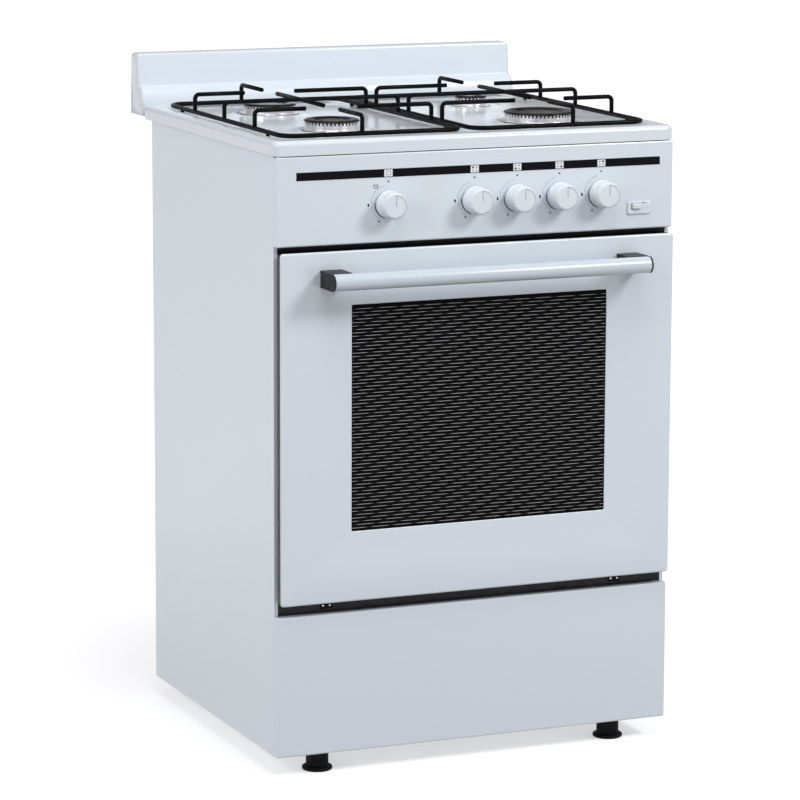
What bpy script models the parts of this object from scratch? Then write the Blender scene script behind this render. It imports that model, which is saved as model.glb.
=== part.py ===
"""Freestanding gas range: carcass, oven, drop-down door, control taps, hob, burners and pan supports.

Metres, +Z up, the front faces -Y. The origin is on the floor, under the middle of the whole object.
Every depth below is measured backwards from the front plane of the carcass, through at().
"""

import math

import bmesh
import bpy
from mathutils import Vector

GAP = 0.0003  # clearance between pieces that rest on each other
SHEET = 0.001  # steel sheet of the panels

# Carcass
BODY_HALF = 0.297
BODY_DEPTH = 0.487
BODY_BASE = 0.030
BODY_TOP = 0.860
FRONT_FLANGE = 0.0052
REAR_FLANGE = 0.018

# Everything that stands in front of the carcass is measured forwards from it
PANEL_PROUD = 0.012
DOOR_PROUD = 0.0217
HANDLE_REACH = 0.074

# Hob and backsplash
HOB_HALF = 0.300
HOB_OVERHANG = 0.0125
HOB_BOTTOM = 0.8605
HOB_TOP = 0.8805
HOB_DEPTH = 0.5205
RECESS_DROP = 0.004
BACKSPLASH_HALF = 0.2985
BACKSPLASH_REAR = 0.579
BACKSPLASH_TOP = 0.953

# Control fascia
FASCIA_BOTTOM = 0.7375
FASCIA_TOP = 0.8595
KNOB_HEIGHT = 0.790
KNOB_RADIUS = 0.0195
KNOB_FRONT = -0.041
KNOB_GAP = 0.0035
TAPS = {
    "oven": -0.1349,
    "rear_left": -0.0069,
    "front_left": 0.0572,
    "front_right": 0.1213,
    "rear_right": 0.1855,
}
SPINDLE = 0.004
BORE_GAP = 0.0004  # radial clearance round the spindles

# Igniter, as x from and to, then height from and to
IGNITION_BEZEL = (0.2261, 0.2618, 0.7583, 0.7759)
IGNITION_BUTTON = (0.2329, 0.2469, 0.7659, 0.7735)
BUTTON_GAP = 0.0005

# Gas train behind the fascia
VALVE_RADIUS = 0.010
MANIFOLD_RADIUS = 0.007
MANIFOLD_HEIGHT = KNOB_HEIGHT - VALVE_RADIUS - MANIFOLD_RADIUS - 0.0005
MANIFOLD_DEPTH = 0.030
INLET_X = 0.262

# Oven and door
DOOR_HALF = 0.2951
DOOR_BOTTOM = 0.2449
DOOR_TOP = 0.7302
DOOR_RETURN = 0.0032  # short edge of the white outer sheet
DOOR_REAR = -0.0070  # rear face of the black inner tray
WINDOW_HALF = 0.1917
WINDOW_BOTTOM = 0.3429
WINDOW_TOP = 0.6562
OVEN_HALF = 0.205
OVEN_FLOOR = 0.300
OVEN_ROOF = 0.690
OVEN_FACE = 0.0015
OVEN_BACK = 0.440
LOWER_PANEL_TOP = 0.2275
HINGE_DEPTH = -0.0035
HINGE_HEIGHT = 0.2481
HINGE_OFFSET = 0.220
HANDLE_HEIGHT = 0.694
HANDLE_RADIUS = 0.0115
HANDLE_HALF = 0.2355

# Burners, as crown, cap, base ring and cup radius
FRONT_BURNERS = 0.1335
REAR_BURNERS = 0.371
BURNER_OFFSET = 0.1585
RAPID = (0.0465, 0.051, 0.0525, 0.030)
SEMI_RAPID = (0.0365, 0.039, 0.041, 0.024)
AUXILIARY = (0.0225, 0.024, 0.028, 0.016)
BURNERS = {
    "front_left": (-BURNER_OFFSET, FRONT_BURNERS, SEMI_RAPID),
    "rear_left": (-BURNER_OFFSET, REAR_BURNERS, SEMI_RAPID),
    "front_right": (BURNER_OFFSET, FRONT_BURNERS, RAPID),
    "rear_right": (BURNER_OFFSET, REAR_BURNERS, AUXILIARY),
}

# Pan supports
WIRE = 0.0033
FINGER_WIRE = 0.0031
CROSS_WIRE = 0.0029
FRAME_HEIGHT = 0.8832
FINGER_HEIGHT = 0.9082
SUPPORT_OUTER = 0.2725
SUPPORT_INNER = 0.0080
SUPPORT_FRONT = 0.0235
SUPPORT_REAR = 0.485
SUPPORT_CORNER = 0.024
FINGER_TIP = 0.0385
BAR_TIP = 0.030

# Shelf
RACK_HEIGHT = 0.5218
RACK_HALF = 0.1965
RACK_WIRE = 0.003
RAIL_WIRE = 0.002

# Feet
FOOT_OFFSET = 0.2245
FOOT_DEPTHS = {"front": 0.024, "rear": 0.463}
FOOT_FLANGE = 0.0213
FOOT_RADIUS = 0.0157

FRONT = HANDLE_REACH - (HANDLE_REACH + BACKSPLASH_REAR) / 2  # y of the carcass front plane

WHITE = ((0.80, 0.82, 0.85), 0.28, 0.0)
BLACK_ENAMEL = ((0.012, 0.012, 0.014), 0.30, 0.0)
BLACK_PLASTIC = ((0.018, 0.018, 0.020), 0.45, 0.0)
WHITE_PLASTIC = ((0.78, 0.80, 0.83), 0.35, 0.0)
GLASS = ((0.010, 0.010, 0.012), 0.05, 0.0)
ALUMINIUM = ((0.72, 0.72, 0.73), 0.38, 1.0)
STEEL = ((0.60, 0.60, 0.61), 0.35, 1.0)
BRASS = ((0.70, 0.52, 0.25), 0.35, 1.0)
RUBBER = ((0.05, 0.05, 0.05), 0.80, 0.0)
GALVANISED = ((0.55, 0.57, 0.58), 0.50, 0.8)


def at(x, depth, z):
    """The point at x and z, this far behind the carcass front plane."""
    return Vector((x, FRONT + depth, z))


def finish(name, look):
    colour, roughness, metallic = look
    material = bpy.data.materials.new(name)
    material.use_nodes = True
    shader = material.node_tree.nodes["Principled BSDF"]
    shader.inputs["Base Color"].default_value = (*colour, 1.0)
    shader.inputs["Roughness"].default_value = roughness
    shader.inputs["Metallic"].default_value = metallic
    return material


def add_piece(name, shape, look, origin=None, parent=None):
    """One named object from a shape in world coordinates, with its own origin and material."""
    origin = Vector((0, 0, 0)) if origin is None else origin
    bmesh.ops.translate(shape, verts=shape.verts, vec=-origin)
    mesh = bpy.data.meshes.new(name)
    shape.to_mesh(mesh)
    shape.free()
    mesh.shade_smooth()
    mesh.set_sharp_from_angle(angle=math.radians(35))
    piece = bpy.data.objects.new(name, mesh)
    piece.data.materials.append(finish(name + "_finish", look))
    bpy.context.collection.objects.link(piece)
    piece.parent = parent
    piece.location = origin - parent.location if parent else origin
    return piece


def add_axis(name, point):
    axis = bpy.data.objects.new(name, None)
    axis.location = point
    bpy.context.collection.objects.link(axis)
    return axis


def combine(piece, operation, shapes):
    """Cuts the shapes from the piece, or joins them to it, with one Boolean."""
    helpers = bpy.data.collections.new(f"{piece.name}_{operation.lower()}")
    bpy.context.scene.collection.children.link(helpers)
    for number, shape in enumerate(shapes):
        mesh = bpy.data.meshes.new(f"{helpers.name}_{number}")
        shape.to_mesh(mesh)
        shape.free()
        helper = bpy.data.objects.new(mesh.name, mesh)
        helper.hide_render = True
        helper.display_type = "WIRE"
        helpers.objects.link(helper)
    boolean = piece.modifiers.new(operation.lower(), "BOOLEAN")
    boolean.operation = operation
    boolean.operand_type = "COLLECTION"
    boolean.collection = helpers


def loft(loops, ring=False):
    """Skins loops of equal count: capped at both ends, or closed on itself as a ring."""
    shape = bmesh.new()
    rows = [[shape.verts.new(point) for point in loop] for loop in loops]
    pairs = list(zip(rows, rows[1:]))
    if ring:
        pairs.append((rows[-1], rows[0]))
    for row, following in pairs:
        for i in range(len(row)):
            j = (i + 1) % len(row)
            shape.faces.new((row[i], row[j], following[j], following[i]))
    if not ring:
        shape.faces.new(rows[0])
        shape.faces.new(rows[-1])
    bmesh.ops.recalc_face_normals(shape, faces=shape.faces)
    return shape


def box(x0, x1, depth0, depth1, z0, z1):
    corners = ((x0, z0), (x1, z0), (x1, z1), (x0, z1))
    return loft([[at(x, depth, z) for x, z in corners] for depth in (depth0, depth1)])


def rounded(half_u, half_v, radius, segments=3):
    """A rectangle with round corners about the origin, as (u, v) pairs."""
    points = []
    for quarter, (side_u, side_v) in enumerate(((1, 1), (-1, 1), (-1, -1), (1, -1))):
        for step in range(segments + 1):
            angle = math.pi / 2 * (quarter + step / segments)
            u = side_u * (half_u - radius) + radius * math.cos(angle)
            v = side_v * (half_v - radius) + radius * math.sin(angle)
            points.append((u, v))
    return points


def upright(x0, x1, z0, z1, depth, radius=0.001):
    """A rounded rectangle that faces the viewer, at one depth."""
    middle_x, middle_z = (x0 + x1) / 2, (z0 + z1) / 2
    outline = rounded((x1 - x0) / 2, (z1 - z0) / 2, radius)
    return [at(middle_x + u, depth, middle_z + v) for u, v in outline]


def level(half, depth0, depth1, z, radius=0.001, segments=3):
    """A rounded rectangle that lies flat, at one height."""
    middle = (depth0 + depth1) / 2
    outline = rounded(half, (depth1 - depth0) / 2, radius, segments)
    return [at(u, middle + v, z) for u, v in outline]


def turned_upright(x, depth, profile, sides=20):
    """A shape turned about a vertical axis, from (radius, height) pairs."""
    loops = []
    for radius, z in profile:
        angles = [2 * math.pi * k / sides for k in range(sides)]
        loops.append([at(x + radius * math.cos(a), depth + radius * math.sin(a), z) for a in angles])
    return loft(loops)


def turned_level(x, z, profile, sides=16):
    """A shape turned about an axis that runs front to back, from (radius, depth) pairs."""
    loops = []
    for radius, depth in profile:
        angles = [2 * math.pi * (k + 0.5) / sides for k in range(sides)]
        loops.append([at(x + radius * math.cos(a), depth, z + radius * math.sin(a)) for a in angles])
    return loft(loops)


def rounded_path(points, radius, segments=3):
    """Replaces each inner corner of a path with an arc."""
    path = [points[0]]
    for before, corner, after in zip(points, points[1:], points[2:]):
        back, ahead = (before - corner).normalized(), (after - corner).normalized()
        turn = back.angle(ahead)
        start = corner + back * radius / math.tan(turn / 2)
        centre = corner + (back + ahead).normalized() * radius / math.sin(turn / 2)
        arm = start - centre
        for step in range(segments + 1):
            angle = (math.pi - turn) * step / segments
            path.append(centre + arm * math.cos(angle) - back * radius * math.sin(angle))
    path.append(points[-1])
    return path


def wire(path, radius, closed=False, sides=8):
    """A round wire along a flat path."""
    count = len(path)
    span = (path[1] - path[0]).cross(path[count // 2] - path[0])
    level_normal = span.normalized() if span.length > 1e-9 else Vector((0, 0, 1))
    if abs((path[1] - path[0]).normalized().dot(level_normal)) > 0.9:
        level_normal = Vector((1, 0, 0))
    loops = []
    for i, point in enumerate(path):
        before = path[i - 1] if closed or i else point
        after = path[(i + 1) % count] if closed or i + 1 < count else point
        along = (after - before).normalized()
        across = along.cross(level_normal).normalized()
        if closed or 0 < i < count - 1:
            bend = (point - before).angle(after - point)
        else:
            bend = 0.0
        mitre = radius / math.cos(bend / 2)
        loop = []
        for k in range(sides):
            angle = 2 * math.pi * (k + 0.5) / sides
            loop.append(point + across * mitre * math.cos(angle) + level_normal * radius * math.sin(angle))
        loops.append(loop)
    return loft(loops, ring=closed)


def side_panel(name, side):
    """Outer skin with an inward flange down its front and its rear edge."""
    inner, flange, rear = BODY_HALF - SHEET, BODY_HALF - FRONT_FLANGE, BODY_HALF - REAR_FLANGE
    plan = (
        (BODY_HALF, 0.0),
        (BODY_HALF, BODY_DEPTH),
        (rear, BODY_DEPTH),
        (rear, BODY_DEPTH - SHEET),
        (inner, BODY_DEPTH - SHEET),
        (inner, SHEET),
        (flange, SHEET),
        (flange, 0.0),
    )
    loops = [[at(side * x, depth, z) for x, depth in plan] for z in (BODY_BASE, BODY_TOP)]
    add_piece(name, loft(loops), WHITE, at(side * BODY_HALF, 0, BODY_BASE))


def rear_panel():
    """Plate between the side panels, with cooling slots and the gas inlet hole."""
    half, back = BODY_HALF - SHEET - 0.0007, BODY_DEPTH - SHEET - 0.0005
    plate = box(-half, half, back - SHEET, back, BODY_BASE + 0.002, BODY_TOP - 0.001)
    panel = add_piece("rear_panel", plate, GALVANISED, at(0, back, BODY_BASE))
    slots = [
        box(x - 0.030, x + 0.030, back - 0.01, back + 0.01, z, z + 0.006)
        for x in (-0.16, -0.08, 0.0, 0.08, 0.16)
        for z in (0.735, 0.755, 0.775)
    ]
    inlet = turned_level(INLET_X, MANIFOLD_HEIGHT, ((0.0085, back - 0.01), (0.0085, back + 0.01)))
    combine(panel, "DIFFERENCE", [*slots, inlet])


def base_tray():
    """Shallow tray that closes the bottom and carries the feet."""
    half, rear = BODY_HALF - SHEET - 0.0005, BODY_DEPTH - 2 * SHEET - 0.001
    low, high = BODY_BASE + 0.0005, BODY_BASE + 0.018
    loops = [
        level(half, OVEN_FACE, rear, low),
        level(half, OVEN_FACE, rear, high),
        level(half - SHEET, OVEN_FACE + SHEET, rear - SHEET, high),
        level(half - SHEET, OVEN_FACE + SHEET, rear - SHEET, low + SHEET),
    ]
    add_piece("base_tray", loft(loops), GALVANISED, at(0, 0, BODY_BASE))


def foot(name, x, depth):
    profile = (
        (FOOT_FLANGE - 0.001, 0.0),
        (FOOT_FLANGE, 0.001),
        (FOOT_FLANGE, 0.004),
        (FOOT_FLANGE - 0.0015, 0.0055),
        (FOOT_RADIUS, 0.006),
        (FOOT_RADIUS, BODY_BASE),
    )
    add_piece(name, turned_upright(x, depth, profile, 16), BLACK_PLASTIC, at(x, depth, 0))


def front_pan(z0, z1, back, edge=0.002):
    """Loops of a sheet pan that faces forwards, from its back rim round to its inside."""
    front, corner = -PANEL_PROUD, 0.002

    def outline(inset, depth, radius=corner):
        return upright(-BODY_HALF + inset, BODY_HALF - inset, z0 + inset, z1 - inset, depth, radius)

    outside = [outline(0.0, back)]
    for inset, behind in ((0.0, edge), (0.3 * edge, 0.3 * edge), (edge, 0.0)):
        outside.append(outline(inset, front + behind))
    inside = [outline(SHEET, front + SHEET, SHEET), outline(SHEET, back, SHEET)]
    return outside, inside


def closed_pan(z0, z1, back):
    """A pan with no opening: its face and its inside are both capped."""
    outside, inside = front_pan(z0, z1, back)
    return loft([inside[0], inside[1], *outside])


def lower_front_panel():
    pan = closed_pan(BODY_BASE + 0.0005, LOWER_PANEL_TOP, -0.0005)
    panel = add_piece("lower_front_panel", pan, WHITE, at(0, -PANEL_PROUD, BODY_BASE))
    half, high = BODY_HALF - FRONT_FLANGE - 0.001, LOWER_PANEL_TOP - 0.0002
    shelf = box(-half, half, SHEET + 0.0002 - PANEL_PROUD, 0.015, high - 0.0008, high)
    combine(panel, "UNION", [shelf])


def control_fascia():
    pan = closed_pan(FASCIA_BOTTOM, FASCIA_TOP, -0.0005)
    fascia = add_piece("control_fascia", pan, WHITE, at(0, -PANEL_PROUD, FASCIA_BOTTOM))
    holes = [
        turned_level(x, KNOB_HEIGHT, ((SPINDLE + 0.0015, -0.02), (SPINDLE + 0.0015, -0.005)))
        for x in TAPS.values()
    ]
    x0, x1, z0, z1 = IGNITION_BUTTON
    holes.append(box(x0 - 0.0008, x1 + 0.0008, -0.02, -0.005, z0 - 0.0008, z1 + 0.0008))
    combine(fascia, "DIFFERENCE", holes)


def tap(place, x):
    """Fixed valve body, turning spindle and the knob that slides on it."""
    valve = turned_level(
        x,
        KNOB_HEIGHT,
        (
            (SPINDLE + BORE_GAP, 0.022),
            (SPINDLE + BORE_GAP, 0.002),
            (VALVE_RADIUS - 0.003, 0.002),
            (VALVE_RADIUS - 0.003, 0.010),
            (VALVE_RADIUS, 0.010),
            (VALVE_RADIUS, 0.044),
        ),
        12,
    )
    add_piece(f"valve_{place}", valve, BRASS, at(x, 0, KNOB_HEIGHT))
    axis = add_axis(f"tap_axis_{place}", at(x, 0, KNOB_HEIGHT))
    spindle = turned_level(x, KNOB_HEIGHT, ((SPINDLE, -0.033), (SPINDLE, 0.0215)), 12)
    add_piece(f"spindle_{place}", spindle, STEEL, at(x, 0, KNOB_HEIGHT), axis)
    knob_back = -PANEL_PROUD - KNOB_GAP
    knob = turned_level(
        x,
        KNOB_HEIGHT,
        (
            (SPINDLE + BORE_GAP, -0.0375),
            (SPINDLE + BORE_GAP, knob_back - 0.001),
            (SPINDLE + 0.004, knob_back - 0.001),
            (KNOB_RADIUS - 0.001, knob_back),
            (KNOB_RADIUS, knob_back - 0.0015),
            (KNOB_RADIUS - 0.0008, KNOB_FRONT + 0.0015),
            (KNOB_RADIUS - 0.0022, KNOB_FRONT),
        ),
        24,
    )
    add_piece(f"knob_{place}", knob, WHITE_PLASTIC, at(x, knob_back, KNOB_HEIGHT), axis)


def ignition():
    """Raised bezel with the push button that slides in it, and the switch behind the fascia."""
    x0, x1, z0, z1 = IGNITION_BEZEL
    b0, b1, c0, c1 = IGNITION_BUTTON
    clear = BUTTON_GAP
    face, back = -PANEL_PROUD - 0.0022, -PANEL_PROUD - GAP
    loops = [
        upright(x0, x1, z0, z1, back, 0.002),
        upright(x0, x1, z0, z1, face + 0.0006, 0.002),
        upright(x0 + 0.0006, x1 - 0.0006, z0 + 0.0006, z1 - 0.0006, face, 0.002),
        upright(b0 - clear, b1 + clear, c0 - clear, c1 + clear, face, 0.001),
        upright(b0 - clear, b1 + clear, c0 - clear, c1 + clear, back, 0.001),
    ]
    add_piece("ignition_bezel", loft(loops, ring=True), WHITE_PLASTIC, at(x0, back, z0))
    button = loft(
        [
            upright(b0, b1, c0, c1, -0.0035, 0.001),
            upright(b0, b1, c0, c1, face - 0.0022, 0.001),
            upright(b0 + 0.0008, b1 - 0.0008, c0 + 0.0008, c1 - 0.0008, face - 0.003, 0.001),
        ]
    )
    middle = at((b0 + b1) / 2, -0.0035, (c0 + c1) / 2)
    add_piece("ignition_button", button, WHITE_PLASTIC, middle)
    switch = box(b0 - 0.004, b1 + 0.004, 0.0005, 0.020, c0 - 0.006, c1 + 0.006)
    add_piece("ignition_switch", switch, BLACK_PLASTIC, middle)


def gas_supply():
    """Manifold under the valves and the inlet pipe that leaves through the rear panel."""
    manifold = wire(
        [at(-0.165, MANIFOLD_DEPTH, MANIFOLD_HEIGHT), at(INLET_X + 0.012, MANIFOLD_DEPTH, MANIFOLD_HEIGHT)],
        MANIFOLD_RADIUS,
    )
    add_piece("gas_manifold", manifold, STEEL, at(0, MANIFOLD_DEPTH, MANIFOLD_HEIGHT))
    start = MANIFOLD_DEPTH + MANIFOLD_RADIUS + GAP
    back = BODY_DEPTH
    inlet = turned_level(
        INLET_X,
        MANIFOLD_HEIGHT,
        (
            (0.0070, start),
            (0.0070, back + 0.002),
            (0.0140, back + 0.002),
            (0.0140, back + 0.010),
            (0.0103, back + 0.011),
            (0.0103, back + 0.034),
            (0.0075, back + 0.034),
            (0.0075, back + 0.014),
        ),
        12,
    )
    add_piece("gas_inlet", inlet, BRASS, at(INLET_X, back, MANIFOLD_HEIGHT))


def oven_cavity():
    """Pressed liner: a box open to the front, with a broad flange round its mouth."""
    wall = 0.0012
    half, low, high = OVEN_HALF, OVEN_FLOOR, OVEN_ROOF
    flange_half, flange_low, flange_high = 0.295, LOWER_PANEL_TOP + 0.0015, FASCIA_BOTTOM - 0.0005
    loops = [
        upright(-half, half, low, high, OVEN_BACK, 0.012),
        upright(-half, half, low, high, OVEN_FACE, 0.012),
        upright(-flange_half, flange_half, flange_low, flange_high, OVEN_FACE, 0.003),
        upright(-flange_half, flange_half, flange_low, flange_high, OVEN_FACE + wall, 0.003),
        upright(-half - wall, half + wall, low - wall, high + wall, OVEN_FACE + wall, 0.013),
        upright(-half - wall, half + wall, low - wall, high + wall, OVEN_BACK + wall, 0.013),
    ]
    add_piece("oven_cavity", loft(loops), BLACK_ENAMEL, at(0, OVEN_FACE, OVEN_FLOOR))


def oven_floor_plate():
    half, front, rear, height = OVEN_HALF - 0.0015, 0.014, OVEN_BACK - 0.004, OVEN_FLOOR + 0.016
    plate = box(-half, half, front, rear, height, height + 0.0015)
    floor = add_piece("oven_floor_plate", plate, BLACK_ENAMEL, at(0, front, height))
    slots = [
        box(x - 0.004, x + 0.004, middle - 0.045, middle + 0.045, height - 0.01, height + 0.01)
        for x in (-0.175, -0.155, 0.155, 0.175)
        for middle in (0.11, 0.225, 0.34)
    ]
    combine(floor, "DIFFERENCE", slots)


def oven_burner():
    """U-shaped tube burner that lies under the floor plate."""
    height, reach, front, rear = OVEN_FLOOR + 0.008, 0.090, 0.05, 0.36
    plan = ((-reach, front), (-reach, rear), (reach, rear), (reach, front))
    path = rounded_path([at(x, depth, height) for x, depth in plan], 0.05, 4)
    add_piece("oven_burner", wire(path, 0.0065), STEEL, at(0, front, height))


def rack_runner(name, side):
    """Wire ladder on one oven wall, with three pairs of rails."""
    upright_x, rail_x = side * (OVEN_HALF - 0.0035), side * (OVEN_HALF - 0.0065)
    post = [at(upright_x, 0.05, 0.345), at(upright_x, 0.05, 0.655)]
    runner = add_piece(name, wire(post, RAIL_WIRE, sides=6), STEEL, at(upright_x, 0.05, 0.345))
    parts = [wire([at(upright_x, 0.40, 0.345), at(upright_x, 0.40, 0.655)], RAIL_WIRE, sides=6)]
    lower = RACK_HEIGHT - RACK_WIRE - GAP - RAIL_WIRE
    for shelf in (-0.105, 0.0, 0.105):
        for rise in (0.0, 0.0135):
            z = lower + shelf + rise
            parts.append(wire([at(rail_x, 0.035, z), at(rail_x, 0.415, z)], RAIL_WIRE, sides=6))
    combine(runner, "UNION", parts)


def oven_rack():
    """Wire shelf: a round-cornered frame with bars from front to back."""
    front, rear = 0.018, 0.418
    frame = wire(level(RACK_HALF, front, rear, RACK_HEIGHT, 0.015), RACK_WIRE, closed=True, sides=6)
    rack = add_piece("oven_rack", frame, STEEL, at(0, front, RACK_HEIGHT))
    bars = [
        wire([at(x * 0.027, front, RACK_HEIGHT), at(x * 0.027, rear, RACK_HEIGHT)], 0.0018, sides=6)
        for x in range(-6, 7)
    ]
    combine(rack, "UNION", bars)


def door_outer_panel(axis):
    """White sheet with a short rounded return and the window opening."""
    edge, face = 0.0025, -DOOR_PROUD
    half, low, high = DOOR_HALF, DOOR_BOTTOM, DOOR_TOP
    part, back = 0.3 * edge, face + DOOR_RETURN
    loops = [
        upright(-half, half, low, high, back, 0.004),
        upright(-half, half, low, high, face + edge, 0.004),
        upright(-half + part, half - part, low + part, high - part, face + part, 0.004),
        upright(-half + edge, half - edge, low + edge, high - edge, face, 0.003),
        upright(-WINDOW_HALF, WINDOW_HALF, WINDOW_BOTTOM, WINDOW_TOP, face, 0.0015),
        upright(-WINDOW_HALF, WINDOW_HALF, WINDOW_BOTTOM, WINDOW_TOP, face + SHEET, 0.0015),
        upright(-half + SHEET, half - SHEET, low + SHEET, high - SHEET, face + SHEET, 0.003),
        upright(-half + SHEET, half - SHEET, low + SHEET, high - SHEET, back, 0.003),
    ]
    add_piece("door_outer_panel", loft(loops, ring=True), WHITE, axis.location.copy(), axis)


def door_glass(name, half, low, high, face, axis):
    thickness = 0.004
    pane = loft([upright(-half, half, low, high, depth, 0.003) for depth in (face, face + thickness)])
    add_piece(name, pane, GLASS, axis.location.copy(), axis)


def door_inner_panel(axis):
    """Black tray behind the outer sheet, with a raised frame that enters the oven mouth."""
    wall, inset, raised = 0.0012, 0.0006, 0.0085
    front, rear = GAP + DOOR_RETURN - DOOR_PROUD, DOOR_REAR
    tray_half, tray_low, tray_high = DOOR_HALF - inset, DOOR_BOTTOM + inset, DOOR_TOP - inset
    lined_half, lined_low, lined_high = tray_half - wall, tray_low + wall, tray_high - wall
    half, low, high = OVEN_HALF - 0.009, OVEN_FLOOR + 0.009, OVEN_ROOF - 0.009
    rim_half, rim_low, rim_high = 0.178, 0.3495, 0.6495
    loops = [
        upright(-tray_half, tray_half, tray_low, tray_high, front, 0.0035),
        upright(-tray_half, tray_half, tray_low, tray_high, rear, 0.0035),
        upright(-half, half, low, high, rear, 0.010),
        upright(-half, half, low, high, raised, 0.010),
        upright(-rim_half, rim_half, rim_low, rim_high, raised, 0.006),
        upright(-rim_half, rim_half, rim_low, rim_high, raised - wall, 0.006),
        upright(-half + wall, half - wall, low + wall, high - wall, raised - wall, 0.009),
        upright(-half + wall, half - wall, low + wall, high - wall, rear - wall, 0.009),
        upright(-lined_half, lined_half, lined_low, lined_high, rear - wall, 0.0025),
        upright(-lined_half, lined_half, lined_low, lined_high, front, 0.0025),
    ]
    add_piece("door_inner_panel", loft(loops, ring=True), BLACK_ENAMEL, axis.location.copy(), axis)
    door_glass("door_inner_glass", 0.186, 0.3415, 0.6575, raised - wall - GAP - 0.004, axis)


def door_gasket():
    """Soft seal round the oven mouth, fixed to the face of the liner."""
    middle = (OVEN_FLOOR + OVEN_ROOF) / 2
    reach = (OVEN_ROOF - OVEN_FLOOR) / 2
    back, front = OVEN_FACE - GAP, DOOR_REAR + GAP
    inner, outer, edge = 0.004, 0.012, 0.002
    section = (
        (inner, back),
        (inner, front + edge),
        (inner + edge, front),
        (outer - edge, front),
        (outer, front + edge),
        (outer, back),
    )
    loops = []
    for grow, depth in section:
        half = OVEN_HALF + grow
        loops.append(upright(-half, half, middle - reach - grow, middle + reach + grow, depth, 0.014))
    add_piece("door_gasket", loft(loops, ring=True), RUBBER, at(0, back, middle))


def door_handle(axis):
    """White tube held at its ends by two plastic brackets."""
    depth, radius, sides = HANDLE_RADIUS - HANDLE_REACH, HANDLE_RADIUS, 16
    angles = [2 * math.pi * k / sides for k in range(sides)]
    section = [(depth + radius * math.cos(a), HANDLE_HEIGHT + radius * math.sin(a)) for a in angles]
    tube = loft([[at(x, behind, z) for behind, z in section] for x in (-HANDLE_HALF, HANDLE_HALF)])
    add_piece("handle_tube", tube, WHITE, axis.location.copy(), axis)
    for name, side in (("left", -1), ("right", 1)):
        handle_bracket(f"handle_bracket_{name}", side, depth, axis)


def handle_bracket(name, side, tube_depth, axis):
    """Block from the door to the back of the tube, with an end plate that covers the tube's end."""
    inner, outer = side * 0.2065, side * (HANDLE_HALF + GAP)
    plate = side * (HANDLE_HALF + 0.0025)
    base = -DOOR_PROUD - GAP
    high = HANDLE_RADIUS + 0.0003
    saddle = HANDLE_RADIUS + 0.0005
    steps = 6
    bowl = [
        (tube_depth + saddle * math.cos(a), saddle * math.sin(a))
        for a in (math.radians(70 - 140 * k / steps) for k in range(steps + 1))
    ]
    outline = [(base, high), (bowl[0][0], high), *bowl, (bowl[-1][0], -high), (base, -high)]
    block = loft([[at(x, depth, HANDLE_HEIGHT + z) for depth, z in outline] for x in (inner, plate)])
    bracket = add_piece(name, block, BLACK_PLASTIC, axis.location.copy(), axis)
    nose = [
        (tube_depth - HANDLE_RADIUS * math.sin(a), HANDLE_RADIUS * math.cos(a))
        for a in (math.pi * k / 8 for k in range(9))
    ]
    cover = [(base - 0.002, high), *nose, (base - 0.002, -high)]
    end = loft([[at(x, depth, HANDLE_HEIGHT + z) for depth, z in cover] for x in (outer, plate)])
    combine(bracket, "UNION", [end])


def hinge(name, side, axis):
    """Leaf on the door with a barrel on the hinge axis, and the bracket whose ears hold its pin."""
    x = side * HINGE_OFFSET
    barrel, pin, reach = 0.003, 0.0014, 0.006
    sides = 12
    ring = [2 * math.pi * (k + 0.5) / sides for k in range(sides)]

    def along_x(radius, start, end):
        return [
            [at(place, HINGE_DEPTH + radius * math.cos(a), HINGE_HEIGHT + radius * math.sin(a)) for a in ring]
            for place in (start, end)
        ]

    outer, bore = along_x(barrel, x - reach, x + reach), along_x(pin + GAP, x - reach, x + reach)
    barrel_shape = loft([outer[0], outer[1], bore[1], bore[0]], ring=True)
    leaf = add_piece(f"hinge_leaf_{name}", barrel_shape, STEEL, axis.location.copy(), axis)
    rear = DOOR_REAR + GAP
    plate = box(x - reach, x + reach, rear, rear + 0.0016, HINGE_HEIGHT + barrel * 0.75, 0.283)
    combine(leaf, "UNION", [plate])
    back = OVEN_FACE - GAP
    height, ear = 0.0018, 0.0023
    foot_plate = box(x - 0.011, x + 0.011, back - 0.0012, back, HINGE_HEIGHT - height, HINGE_HEIGHT + 0.010)
    bracket = add_piece(f"hinge_bracket_{name}", foot_plate, STEEL, axis.location.copy())
    turns = [math.pi * k / 6 for k in range(1, 6)]
    nose = [(HINGE_DEPTH - ear * math.sin(a), ear * math.cos(a)) for a in turns]
    root = back - 0.0006
    outline = [(root, height), (HINGE_DEPTH, ear), *nose, (HINGE_DEPTH, -ear), (root, -height + 0.0002)]
    ears = []
    for outward in (-1, 1):
        span = (x + outward * (reach + GAP), x + outward * (reach + 0.002))
        ears.append(loft([[at(place, depth, HINGE_HEIGHT + z) for depth, z in outline] for place in span]))
    ears.append(loft(along_x(pin, x - reach - 0.001, x + reach + 0.001)))
    combine(bracket, "UNION", ears)


def door():
    axis = add_axis("door_axis", at(0, HINGE_DEPTH, HINGE_HEIGHT))
    door_outer_panel(axis)
    lip, face = 0.008, SHEET + GAP - DOOR_PROUD
    door_glass("door_window", WINDOW_HALF + lip, WINDOW_BOTTOM - lip, WINDOW_TOP + lip, face, axis)
    door_inner_panel(axis)
    door_handle(axis)
    hinge("left", -1, axis)
    hinge("right", 1, axis)


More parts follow.
